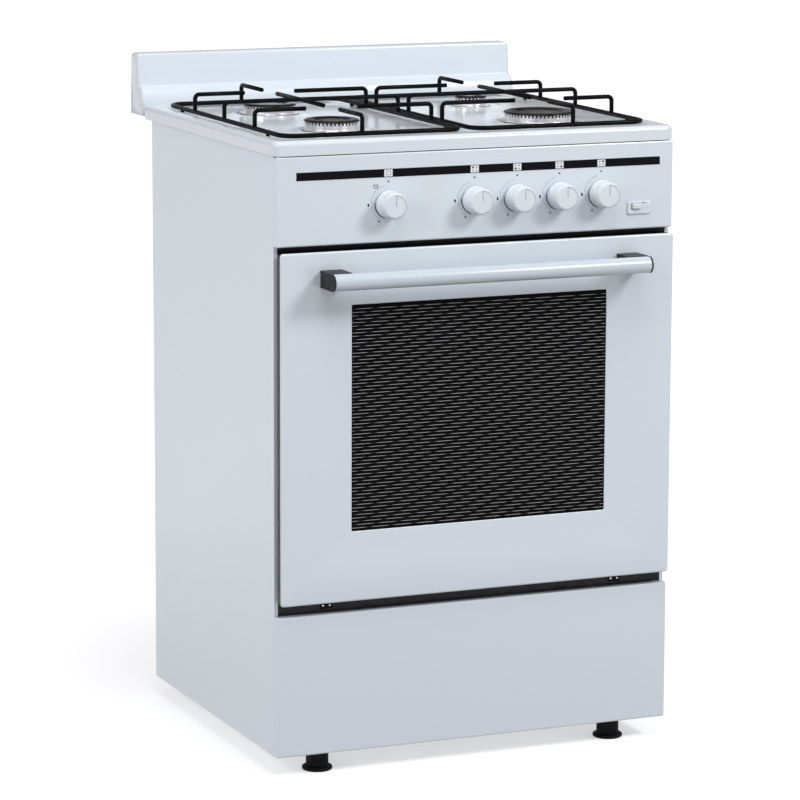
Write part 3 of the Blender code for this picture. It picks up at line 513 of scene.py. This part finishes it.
def hob():
    """The pressed top: rounded outer edge, flat rim, shallow recess and a dished well at each burner."""
    low, high = HOB_LOW, HOB_HIGH
    edge = 0.007
    support_low = Vector(map(min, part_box("pan_support_left")[0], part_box("pan_support_right")[0]))
    support_high = Vector(map(max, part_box("pan_support_left")[1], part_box("pan_support_right")[1]))
    wells = []
    for place in BURNERS:
        base_low, base_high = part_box(f"burner_crown_{place}")
        wells.append(((base_low + base_high) / 2, (base_high.x - base_low.x) / 2))

    def height(x, y):
        inset = min(x - support_low.x, support_high.x - x, y - support_low.y, support_high.y - y)
        z = high.z - RECESS * smooth_step(inset, -0.006, 0.003)
        for centre, radius in wells:
            away = math.hypot(x - centre.x, y - centre.y)
            rise = smooth_step(away, radius + 0.003, radius + 0.007)
            z += 0.0016 * rise * (1 - smooth_step(away, radius + 0.010, radius + 0.018))
        return z

    def lines(start, end, count):
        return [start + (end - start) * i / count for i in range(count + 1)]

    inner = HOB_CORNER
    xs, ys = lines(low.x + inner, high.x - inner, 150), lines(low.y + inner, high.y - inner, 132)
    shape = bmesh.new()
    grid = [[shape.verts.new((x, y, height(x, y))) for x in xs] for y in ys]
    for row, following in zip(grid, grid[1:]):
        for i in range(len(xs) - 1):
            shape.faces.new((row[i], row[i + 1], following[i + 1], following[i]))
    inner_rows = grid[1:-1]
    right_side = [row[-1] for row in inner_rows]
    left_side = [row[0] for row in reversed(inner_rows)]
    border = [*grid[0], *right_side, *reversed(grid[-1]), *left_side]
    middle = Vector(((low.x + high.x) / 2, (low.y + high.y) / 2))
    half = Vector(((high.x - low.x) / 2, (high.y - low.y) / 2))

    def outward(vert, reach, z):
        """The border vertex moved out to a rounded rectangle at this reach from the outer edge."""
        rim, corner = half - Vector((reach, reach)), max(HOB_CORNER - reach, 0.001)
        start = half - Vector((inner, inner))
        u, v = vert.co.x - middle.x, vert.co.y - middle.y
        u, v = u * (rim.x / start.x), v * (rim.y / start.y)
        over = Vector((max(0.0, abs(u) - (rim.x - corner)), max(0.0, abs(v) - (rim.y - corner))))
        if over.x > 0 and over.y > 0:
            over = over.normalized() * corner if max(over) > corner * 0.999 else over
            u = math.copysign(rim.x - corner + over.x, u)
            v = math.copysign(rim.y - corner + over.y, v)
        return shape.verts.new((middle.x + u, middle.y + v, z))

    steps = 6
    rows = [border]
    for step in range(steps + 1):
        angle = math.pi / 2 * step / steps
        reach, z = edge * (1 - math.sin(angle)), high.z - edge * (1 - math.cos(angle))
        rows.append([outward(v, reach, z) for v in border])
    for reach, z in ((0.0, low.z), (0.0011, low.z), (0.0011, low.z + 0.010)):
        rows.append([outward(v, reach, z) for v in border])
    for row, following in zip(rows, rows[1:]):
        for i in range(len(row)):
            j = (i + 1) % len(row)
            shape.faces.new((row[i], row[j], following[j], following[i]))
    make("hob_pressing", shape, WHITE_HOB, "carcass", 60, ["hob_top"])


def backsplash():
    """The upstand: a folded sheet with a cove at its foot and rounded ends, open underneath."""
    low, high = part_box("backsplash")
    foot = low.y
    rear = high.y
    cove_top = HOB_HIGH.z + 0.026
    face_low, face_top = foot + 0.0184, foot + 0.0239
    steps = 8
    cove = [
        (face_low - (face_low - foot) * math.cos(a), cove_top - (cove_top - HOB_HIGH.z) * (1 - math.sin(a)))
        for a in (math.pi / 2 * k / steps for k in range(1, steps + 1))
    ]
    top_radius = 0.004
    top = fillet([
        (*cove[-1], 0), (face_top, high.z, top_radius), (rear - 0.0066, high.z, top_radius),
        (rear, low.z, 0)], 5)
    profile = [(foot, low.z), (foot, HOB_HIGH.z), *cove, *top[1:]]
    centre = Vector(((foot + rear) / 2 + 0.004, (low.z + high.z) / 2 - 0.02))
    reach = 0.005
    sections = []
    for side in (-1, 1):
        angles = [math.pi / 2 * k / 5 for k in range(6)]
        for a in angles if side < 0 else reversed(angles):
            inset = reach * (1 - math.sin(a))
            x = side * (high.x - reach * (1 - math.cos(a)))
            loop = []
            for y, z in profile:
                pull = Vector((y, z)) - centre
                toward = pull.normalized() * min(inset, pull.length * 0.2)
                moved_y, moved_z = y - toward.x, z - toward.y if z > low.z + 0.001 else z
                loop.append(Vector((x, moved_y, moved_z)))
            sections.append(loop)
    shape = bmesh.new()
    rows = [[shape.verts.new(point) for point in loop] for loop in sections]
    for row, following in zip(rows, rows[1:]):
        for i in range(len(row) - 1):
            shape.faces.new((row[i], row[i + 1], following[i + 1], following[i]))
    for row in (rows[0], rows[-1]):
        shape.faces.new(row)
    piece = make("upstand_sheet", shape, WHITE, "carcass", 50, ["backsplash"])
    thickness = piece.modifiers.new("sheet", "SOLIDIFY")
    thickness.thickness = 0.001
    thickness.offset = -1


# ---------------------------------------------------------------- burners and supports


def burner(place):
    """Cast crown with a smooth wall, flame slots and a cup, an enamelled cap with a ringed top, and black
    painted shade behind the slots and painted shadow round the crown's foot.
    """
    low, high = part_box(f"burner_crown_{place}")
    cap_low, cap_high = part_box(f"burner_cap_{place}")
    centre = Vector(((low.x + high.x) / 2, (low.y + high.y) / 2, 0))
    base, cap = (high.x - low.x) / 2, (cap_high.x - cap_low.x) / 2
    seat = HOB_HIGH.z - RECESS + 0.0003
    crown, cup = cap - 0.0016, base * 0.5
    teeth_top = high.z + 0.0012
    slots = teeth_top - 0.0034
    shape = bmesh.new()
    turned(shape, centre, (0, 0, 1), fillet([
        (cup, low.z, 0), (cup, seat + 0.0002, 0), (base - 0.001, seat + 0.0002, 0.0003),
        (base, seat + 0.0010, 0.0004), (crown + 0.0010, seat + 0.0020, 0.0006),
        (crown, seat + 0.0030, 0.0006), (crown, slots, 0), (crown * 0.80, slots, 0)], 3), 96)
    tooth_pitch = 0.0056
    teeth = int(round(crown * 2 * math.pi / tooth_pitch))
    gear(shape, centre, crown * 0.86, crown - 0.0001, slots - 0.0004, teeth_top, teeth, 0.55)
    make(f"crown_{place}", shape, ALUMINIUM, "carcass", 40, [f"burner_crown_{place}"])
    # painted shade: a black sleeve behind the flame slots stands in for the shade inside the crown
    shape = bmesh.new()
    turned(shape, centre, (0, 0, 1), fillet([
        (crown * 0.80, slots - 0.001, 0), (crown - 0.0016, slots + 0.0001, 0.0002),
        (crown - 0.0016, teeth_top - 0.0002, 0.0002), (crown * 0.80, teeth_top - 0.0002, 0)], 2), 96)
    # painted shadow: a thin black ring at the crown's foot stands in for the shadow round the burner's base
    turned(shape, centre, (0, 0, 1), fillet([
        (base - 0.003, seat, 0), (base + 0.0012, seat, 0.0002), (base + 0.0010, seat + 0.0007, 0.0002),
        (base - 0.003, seat + 0.0007, 0)], 2), 96)
    make(f"crown_shade_{place}", shape, CAP_BLACK_AND_SHADE, "carcass", 40)
    shape = bmesh.new()
    under, peak = teeth_top + 0.0003, cap_high.z
    turned(shape, centre, (0, 0, 1), fillet([
        (crown * 0.76, under - 0.003, 0), (crown * 0.78, under, 0.0004), (cap - 0.0003, under, 0.0005),
        (cap, under + 0.0010, 0.0008), (cap - 0.0016, peak - 0.0008, 0.0010), (cap * 0.88, peak, 0.0012),
        (cap * 0.72, peak - 0.0001, 0.0010), (cap * 0.66, peak - 0.0022, 0.0010),
        (cap * 0.56, peak - 0.0024, 0.002), (cap * 0.25, peak - 0.0014, 0.002),
        (0.001, peak - 0.0013, 0)], 5), 96)
    make(f"cap_{place}", shape, CAP_BLACK_AND_SHADE, f"cap_{place}", 50, [f"burner_cap_{place}"])


def pan_support(side_name):
    """Enamelled wire frame with bent fingers, a cross of bars and four soft feet."""
    side = SIDES[side_name]
    low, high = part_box(f"pan_support_{side_name}")
    thick, finger = 0.0033, 0.0031
    finger_z = high.z - finger
    outer = high.x - thick if side > 0 else low.x + thick
    inner = low.x + thick if side > 0 else high.x - thick
    front, rear = low.y + thick, high.y - thick
    crowns = {row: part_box(f"burner_crown_{row}_{side_name}") for row in ("front", "rear")}
    centres = {row: (box[0] + box[1]) / 2 for row, box in crowns.items()}
    middle = centres["front"].x
    near, far = centres["front"].y, centres["rear"].y
    shape = bmesh.new()
    outline = rounded(abs(outer - inner) / 2, (rear - front) / 2, 0.024)
    loop = [Vector(((outer + inner) / 2 + u, (front + rear) / 2 + v, WIRE_HEIGHT)) for u, v in outline]
    wire(shape, loop, thick, closed=True)

    def bent(*points):
        wire(shape, bend(points, 0.0062), finger, soft_end=0.0006)

    for y in (near, far):
        for edge, way in ((outer, side), (inner, -side)):
            bent((edge, y, WIRE_HEIGHT), (edge, y, finger_z), (middle + way * FINGER_TIP, y, finger_z))
    for edge, tip in ((front, near - BAR_TIP), (rear, far + BAR_TIP)):
        bent((middle, edge, WIRE_HEIGHT), (middle, edge, finger_z), (middle, tip, finger_z))
    cross = (near + far) / 2
    bent(*[(x, cross, z) for x, z in (
        (outer, WIRE_HEIGHT), (outer, finger_z), (inner, finger_z), (inner, WIRE_HEIGHT))])
    bar = [Vector((middle, y, finger_z)) for y in (near + BAR_TIP, far - BAR_TIP)]
    wire(shape, bar, finger, soft_end=0.0006)
    pad = fillet([(0.0018, low.z, 0), (0.0027, low.z, 0.0006), (0.0027, low.z + 0.0035, 0.0004),
                  (0.0018, WIRE_HEIGHT, 0)], 3)
    for x in (outer, inner):
        for y in (front + 0.06, rear - 0.06):
            turned(shape, (x, y, 0), (0, 0, 1), pad, 20)
    make(f"support_wires_{side_name}", shape, BLACK, f"support_{side_name}", 50,
         [f"pan_support_{side_name}"])


# ---------------------------------------------------------------- fascia


def knob(place):
    """Turned knob with a soft edge, a grip line from its middle to its top and a raised half ring."""
    low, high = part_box(f"knob_{place}")
    x, z = (low.x + high.x) / 2, (low.z + high.z) / 2
    radius = (high.z - low.z) / 2
    back, front = high.y, low.y
    bore = 0.0044
    shape = bmesh.new()
    face = front + 0.0005
    turned(shape, (x, 0, z), (0, 1, 0), fillet([
        (bore, front + 0.004, 0), (bore, back, 0), (radius - 0.0004, back, 0.0005),
        (radius, back - 0.0016, 0.0008), (radius - 0.0004, back - 0.0040, 0.0008),
        (radius - 0.0011, back - 0.0048, 0.0008), (radius - 0.0016, face + 0.0014, 0.0016),
        (radius - 0.0034, face, 0.0012), (0.0008, face, 0)], 5), 80)
    make(f"knob_body_{place}", shape, KNOB, f"knob_{place}", 50, [f"knob_{place}"])
    # painted shade: the raised grip line and half ring are coloured grey in place of the shade along their
    # edges
    shape = bmesh.new()
    slab(shape, (x - 0.0005, face - 0.0004, z + 0.0005), (x + 0.0005, face + 0.0006, z + radius - 0.0038))
    arc_mark(shape, x, z, face + 0.0003, radius - 0.0046, 0.0008, -170, -2, 0.0007)
    make(f"knob_relief_shade_{place}", shape, PAINTED_RELIEF_SHADE, f"knob_{place}")


def printed(shape, outline, x, z, face):
    """Adds a flat printed sign with this outline about (x, z), on an upright face."""
    loops = [[Vector((x + u, y, z + v)) for u, v in outline] for y in (face + PRINT_BACK, face - 0.0002)]
    skin(shape, loops)


def fascia_print():
    """Black band, burner symbols, and the marks and arcs round each knob, with a black arc at each knob's
    left and lower rim as painted shadow.
    """
    face = FASCIA_FACE
    back = face + PRINT_BACK
    centres = {place: sum(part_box(f"spindle_{place}"), Vector()) / 2 for place in TAPS}
    height = centres["oven"].z
    band_low, band_high = height + 0.0366, height + 0.0478
    shape = bmesh.new()
    slab(shape, (-0.2687, face - 0.00025, band_low), (0.2763, back, band_high))
    make("print_band", shape, BLACK_PRINT_AND_SHADE, "carcass")
    white, black, grey = bmesh.new(), bmesh.new(), bmesh.new()
    tile_x, tile_z = 0.0061, 0.0048
    middle = (band_low + band_high) / 2
    lit = {"rear_left": (-1, 1), "front_left": (-1, -1), "front_right": (1, -1), "rear_right": (1, 1)}

    def dot(shape, x, z, radius, lift=0.0):
        turned(shape, (x, back - lift, z), (0, -1, 0), [(radius, 0), (radius, 0.0003)], 20)

    def frame_mark(x, z, half_x, half_z, width):
        top, half = face - 0.0005, width / 2
        for way in (-1, 1):
            edge_x, edge_z = x + way * (half_x - half), z + way * (half_z - half)
            slab(grey, (x - half_x, top, edge_z - half), (x + half_x, back, edge_z + half))
            slab(grey, (edge_x - half, top, z - half_z), (edge_x + half, back, z + half_z))

    flame = [(0.0, 0.0027), (-0.0010, 0.0010), (-0.0014, -0.0006), (-0.0009, -0.0022), (0.0005, -0.0025),
             (0.0013, -0.0013), (0.0009, 0.0006)]
    dot_size, print_depth = 0.0012, 0.0003
    off_rise, flame_reach, oven_sign = 0.0308, 0.0292, (-0.0184, 0.0246)
    fine_arc, low_arc, knob_shadow_arc = 0.0258, 0.0240, 0.0196
    scale_radius, low_mark = 0.0270, math.radians(150)
    for place in TAPS:
        x = centres[place].x
        tile_low = (x - tile_x, face - 0.0004, middle - tile_z)
        slab(white, tile_low, (x + tile_x, face - 0.0001, middle + tile_z))
        if place == "oven":
            frame_mark(x, middle, 0.0032, 0.0028, 0.0005)
            frame_mark(x + oven_sign[0], height + oven_sign[1], 0.0030, 0.0023, 0.0006)
        else:
            for u in (-1, 1):
                for v in (-1, 1):
                    size, tone = (0.0014, black) if (u, v) == lit[place] else (0.0009, grey)
                    dot(tone, x + u * 0.0026, middle + v * 0.0022, size, 0.0003)
        dot(black, x, height + off_rise, dot_size)
        for start in range(14, 84, 8):
            arc_mark(grey, x, height, back, fine_arc, 0.0006, start, start + 4, print_depth)
        # painted shadow: a black arc at the knob's rim on its left and lower side stands in for the shadow
        # gap under the knob's skirt
        arc_mark(black, x, height, back, knob_shadow_arc, 0.0010, 84, 166, print_depth)
        for start in range(96, 146, 7):
            arc_mark(grey, x, height, back, low_arc, 0.0005, start, start + 3, print_depth)
        mark_x, mark_z = x - scale_radius * math.sin(low_mark), height + scale_radius * math.cos(low_mark)
        dot(black, mark_x, mark_z, dot_size)
        printed(black, flame, x - flame_reach, height, face)
    low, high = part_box("ignition_bezel")
    spark = [(0.0007, 0.0021), (-0.0007, 0.0003), (0.0, 0.0002), (-0.0006, -0.0018), (0.0008, 0.0004),
             (0.0002, 0.0006)]
    printed(grey, spark, high.x - 0.0042, (low.z + high.z) / 2, low.y)
    make("print_tiles", white, INK_WHITE, "carcass")
    make("print_marks_and_shadow_arcs", black, BLACK_PRINT_AND_SHADE, "carcass")
    make("print_fine", grey, INK_GREY, "carcass")


def igniter():
    """Low bezel with a dished well, and the bar-shaped push button in it."""
    low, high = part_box("ignition_bezel")
    b_low, b_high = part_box("ignition_button")
    clear = 0.0005

    def eased(low, high, inner, radius):
        """Rings of a block from its rear face forwards, with a soft front edge."""
        edge = ((0.0, high.y), (0.0, low.y + 0.0012), (0.0003, low.y + 0.0005), (inner[0], low.y + 0.0001),
                (inner[1], low.y))
        return [upright(low.x + d, high.x - d, low.z + d, high.z - d, y, radius) for d, y in edge]

    shape = bmesh.new()
    rings = eased(low, high, (0.0009, 0.0018), 0.0024)
    for grow, y in ((0.0022, low.y), (0.0012, low.y + 0.0004), (clear, low.y + 0.0010), (clear, high.y)):
        rings.append(upright(b_low.x - grow, b_high.x + grow, b_low.z - grow, b_high.z + grow, y, 0.0016))
    skin(shape, rings, ring=True)
    make("igniter_bezel", shape, KNOB, "carcass", 45, ["ignition_bezel"])
    shape = bmesh.new()
    skin(shape, eased(b_low, b_high, (0.0008, 0.0014), 0.0014))
    make("igniter_button", shape, KNOB, "ignition", 45, ["ignition_button"])


# ---------------------------------------------------------------- door


def door_skin():
    """The white door pan: rounded corners and edges, and a folded rim round the window."""
    low, high = DOOR_LOW, DOOR_HIGH
    w_low, w_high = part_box("door_window")
    face = low.y
    edge, sheet = 0.0028, 0.001
    corner, inner_corner, window_corner = 0.0042, 0.0032, 0.0022

    def pan(inset, y, radius):
        return upright(low.x + inset, high.x - inset, low.z + inset, high.z - inset, y, radius)

    def opening(grow, y):
        reach = WINDOW_LIP - grow
        return upright(w_low.x + reach, w_high.x - reach, w_low.z + reach, w_high.z - reach, y, window_corner)

    rings = [pan(0.0, high.y, corner)]
    for step in range(7):
        angle = math.pi / 2 * step / 6
        rings.append(pan(edge * (1 - math.cos(angle)), face + edge * (1 - math.sin(angle)), corner))
    for grow, y in ((0.0012, face), (0.0004, face + 0.0003), (0.0, face + 0.0009)):
        rings.append(opening(grow, y))
    rings.append(pan(sheet, face + 0.0011, inner_corner))
    rings.append(pan(sheet, high.y, inner_corner))
    shape = bmesh.new()
    skin(shape, rings, ring=True)
    make("door_skin", shape, WHITE, "door", 50, ["door_outer_panel"])


def handle():
    """Lacquered tube between two moulded brackets with rounded end plates."""
    low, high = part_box("handle_tube")
    radius = (high.z - low.z) / 2
    middle_y, middle_z = (low.y + high.y) / 2, (low.z + high.z) / 2
    shape = bmesh.new()
    length = high.x - low.x
    turned(shape, (low.x, middle_y, middle_z), (1, 0, 0), fillet([
        (0.001, 0, 0), (radius, 0, 0.0007), (radius, length, 0.0007), (0.001, length, 0)], 4), 64)
    make("handle_bar", shape, WHITE_TUBE, "door", 45, ["handle_tube"])
    for name, side in SIDES.items():
        b_low, b_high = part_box(f"handle_bracket_{name}")
        near = b_high.x if side < 0 else b_low.x
        far = b_low.x if side < 0 else b_high.x
        inner_end = side * (abs(high.x) + 0.0003)
        base = b_high.y
        tall = (b_high.z - b_low.z) / 2
        saddle = radius + 0.0005
        bowl = [
            (middle_y + saddle * math.cos(a), saddle * math.sin(a))
            for a in (math.radians(74 - 148 * k / 18) for k in range(19))
        ]
        outline = [(base, tall), (bowl[0][0], tall), *bowl, (bowl[-1][0], -tall), (base, -tall)]
        shape = bmesh.new()
        skin(shape, [[Vector((x, y, middle_z + z)) for y, z in outline] for x in (near, inner_end)])
        nose = [
            (middle_y - radius * math.sin(a), (radius + 0.0001) * math.cos(a))
            for a in (math.pi * k / 20 for k in range(21))
        ]
        cover = [(base, tall), *nose, (base, -tall)]
        skin(shape, [[Vector((x, y, middle_z + z)) for y, z in cover] for x in (inner_end, far)])
        replaced = [f"handle_bracket_{name}"]
        piece = make(f"handle_end_{name}", shape, BRACKET, "door", 40, replaced)
        edge = piece.modifiers.new("edge", "BEVEL")
        edge.width = 0.0005
        edge.segments = 2
        edge.limit_method = "ANGLE"
        edge.angle_limit = math.radians(50)


# ---------------------------------------------------------------- feet, screws, hinges


def feet():
    """Adjustable feet: a ribbed stem on a flanged pad."""
    for name in [f"{row}_{side}" for row in ("front", "rear") for side in SIDES]:
        low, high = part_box(f"foot_{name}")
        x, y = (low.x + high.x) / 2, (low.y + high.y) / 2
        flange, top = (high.x - low.x) / 2, high.z
        shape = bmesh.new()
        turned(shape, (x, y, 0), (0, 0, 1), fillet([
            (0.001, 0, 0), (flange - 0.0012, 0, 0.0006), (flange, 0.0014, 0.0008), (flange, 0.0040, 0.0010),
            (flange - 0.0020, 0.0056, 0.0010), (0.0162, 0.0062, 0.0006), (FOOT_STEM, 0.0080, 0.0006),
            (FOOT_STEM, top, 0), (0.001, top, 0)], 4), 72)
        for rib in range(RIB_COUNT):
            angle = 2 * math.pi * rib / RIB_COUNT
            spot = (x + FOOT_RIBS * math.cos(angle), y + FOOT_RIBS * math.sin(angle), 0)
            turned(shape, spot, (0, 0, 1), [(0.0009, 0.0075), (0.0009, top - 0.0006)], 10)
        make(f"foot_pad_{name}", shape, FOOT, f"foot_{name}", 45, [f"foot_{name}"])


def screw(shape, place, axis, radius=0.0036):
    """Adds a pan-head screw with a cross recess drawn as two raised lips."""
    head = [(radius, -0.0004, 0), (radius, 0.0006, 0.0005), (radius * 0.6, 0.0016, 0.0006),
            (0.0005, 0.0018, 0)]
    turned(shape, place, axis, fillet(head, 4), 24)
    axis = Vector(axis)
    across = axis.orthogonal().normalized()
    for direction in (across, axis.cross(across)):
        start = Vector(place) + axis * 0.0016 - direction * radius * 0.55
        wire(shape, [start, start + direction * radius * 1.1], 0.0005, sides=8)


def screws():
    """Nine screws on the rear panel and four on the door's inside."""
    low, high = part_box("rear_panel")
    shape = bmesh.new()
    for x in (low.x + 0.010, (low.x + high.x) / 2, high.x - 0.010):
        for z in (low.z + 0.02, (low.z + high.z) / 2, high.z - 0.02):
            screw(shape, (x, high.y, z), (0, 1, 0))
    make("rear_screws", shape, STEEL, "carcass")
    low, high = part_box("door_inner_panel")
    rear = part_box("door_gasket")[0].y - 0.0003
    shape = bmesh.new()
    for x in (low.x + 0.045, high.x - 0.045):
        for z in (low.z + 0.03, high.z - 0.03):
            screw(shape, (x, rear, z), (0, 1, 0), 0.0030)
    make("door_screws", shape, STEEL, "door")


def hinge_stops():
    """Dark plates with two rivets on the oven face, under each hinge."""
    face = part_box("oven_cavity")[0].y
    plate_low, plate_high, rivet_z = 0.2325, 0.2405, 0.2372
    for name in SIDES:
        low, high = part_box(f"hinge_bracket_{name}")
        x = (low.x + high.x) / 2
        shape = bmesh.new()
        slab(shape, (x - 0.009, face - 0.0006, plate_low), (x + 0.009, face - 0.0001, plate_high))
        make(f"hinge_plate_{name}", shape, BLACK, "carcass")
        shape = bmesh.new()
        rivet = fillet([(0.0016, 0, 0), (0.0014, 0.0005, 0.0003), (0.0003, 0.0006, 0)], 3)
        for shift in (-0.005, 0.005):
            turned(shape, (x + shift, face - 0.0005, rivet_z), (0, -1, 0), rivet, 20)
        make(f"hinge_rivets_{name}", shape, STEEL, "carcass")


# ---------------------------------------------------------------- stage


def area_light(name, place, target, size, watts, colour=(1.0, 1.0, 1.0)):
    """A rectangular lamp aimed at a target."""
    light = bpy.data.lights.new(name, "AREA")
    light.shape = "RECTANGLE"
    light.size, light.size_y = size
    light.energy = watts
    light.color = colour
    lamp = bpy.data.objects.new(name, light)
    bpy.context.scene.collection.objects.link(lamp)
    lamp.location = place
    lamp.rotation_euler = (Vector(target) - Vector(place)).to_track_quat("-Z", "Y").to_euler()


def stage():
    """White floor that brightens away from the range, pale surroundings and three soft lights."""
    scene = bpy.context.scene
    scene.view_settings.view_transform = "Standard"
    mesh = bpy.data.meshes.new("floor")
    reach = 30.0
    corners = [(-reach, -reach, 0), (reach, -reach, 0), (reach, reach, 0), (-reach, reach, 0)]
    mesh.from_pydata(corners, [], [(0, 1, 2, 3)])
    floor = bpy.data.objects.new("floor", mesh)
    scene.collection.objects.link(floor)
    paper = Surface("paper_floor", Specular_IOR_Level=0.0, Emission_Color=(1.0, 1.0, 1.0, 1.0))
    away = paper.node("ShaderNodeVectorMath", operation="LENGTH")
    paper.feed(away.inputs[0], paper.place)
    glow = paper.spread(away.outputs["Value"], 0.40, 0.76, 0.45, 1.6)
    paper.feed(paper.shader.inputs["Emission Strength"], glow)
    paper.colour(paper.ramp(paper.noise(2.0, 3.0), (0.3, (0.85, 0.85, 0.855)), (0.7, (0.86, 0.86, 0.865))))
    paper.rough(0.95)
    floor.data.materials.append(paper.material)
    floor.visible_diffuse = False
    world = bpy.data.worlds.new("studio")
    scene.world = world
    world.use_nodes = True
    nodes, links = world.node_tree.nodes, world.node_tree.links
    background = nodes["Background"]
    background.inputs["Color"].default_value = (1.0, 1.0, 1.0, 1.0)
    path = nodes.new("ShaderNodeLightPath")
    level = nodes.new("ShaderNodeMapRange")
    level.inputs["To Min"].default_value = 0.38
    level.inputs["To Max"].default_value = 1.05
    links.new(path.outputs["Is Camera Ray"], level.inputs["Value"])
    links.new(level.outputs["Result"], background.inputs["Strength"])
    area_light("key", (2.4, -3.0, 3.4), (0, 0, 0.6), (1.3, 1.3), 105)
    area_light("fill", (-4.2, -1.4, 2.6), (0, 0, 0.6), (2.6, 2.6), 82, (0.97, 0.965, 1.03))
    area_light("top", (-0.6, -1.4, 3.8), (0, 0.2, 0.9), (2.0, 2.0), 36)


def camera():
    """The camera stands in front, a little left of the middle, with a long lens."""
    front_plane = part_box("side_panel_left")[0].y
    yaw, pitch, roll = math.radians(23.327), math.radians(9.989), math.radians(0.232)
    toward = Vector((math.sin(yaw) * math.cos(pitch), math.cos(yaw) * math.cos(pitch), -math.sin(pitch)))
    level = Vector((math.cos(yaw), -math.sin(yaw), 0))
    rise = level.cross(toward)
    right = level * math.cos(roll) + rise * math.sin(roll)
    up = rise * math.cos(roll) - level * math.sin(roll)
    data = bpy.data.cameras.new("camera")
    data.lens = 169.07
    data.sensor_width = 36
    data.shift_x = -0.0120
    data.shift_y = -0.0215
    data.clip_end = 200
    view = bpy.data.objects.new("camera", data)
    bpy.context.scene.collection.objects.link(view)
    turn = Matrix((right, up, -toward)).transposed().to_4x4()
    view.matrix_world = Matrix.Translation((-2.108, front_plane - 4.663, 1.434)) @ turn
    bpy.context.scene.camera = view


def main():
    """The stage first, then the frame's own nodes, then the pieces built here."""
    stage()
    camera()
    w_low, w_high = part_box("door_window")
    lip = Vector((WINDOW_LIP, 0, WINDOW_LIP))
    glass = window_glass("glass_window", w_low + lip, w_high - lip)
    paint(WHITE, "side_panel_left", "side_panel_right", "control_fascia", "lower_front_panel")
    soften(0.0005, "side_panel_left", "side_panel_right", "lower_front_panel")
    paint(ZINC, "rear_panel", "base_tray")
    paint(OVEN, "oven_cavity", "oven_floor_plate", "door_inner_panel")
    paint(STEEL, "oven_burner", "gas_manifold", "hinge_leaf_left", "hinge_leaf_right", "hinge_bracket_left",
          "hinge_bracket_right", *[f"spindle_{place}" for place in TAPS])
    paint(CHROME, "rack_runner_left", "rack_runner_right", "oven_rack")
    paint(BRASS, "gas_inlet", *[f"valve_{place}" for place in TAPS])
    paint(BRACKET, "ignition_switch")
    paint(SEAL, "door_gasket")
    paint(GLASS_IN, "door_inner_glass")
    paint(glass, "door_window")
    hob()
    backsplash()
    for place in BURNERS:
        burner(place)
    for side in SIDES:
        pan_support(side)
    for place in TAPS:
        knob(place)
    fascia_print()
    igniter()
    door_skin()
    handle()
    feet()
    screws()
    hinge_stops()


main()
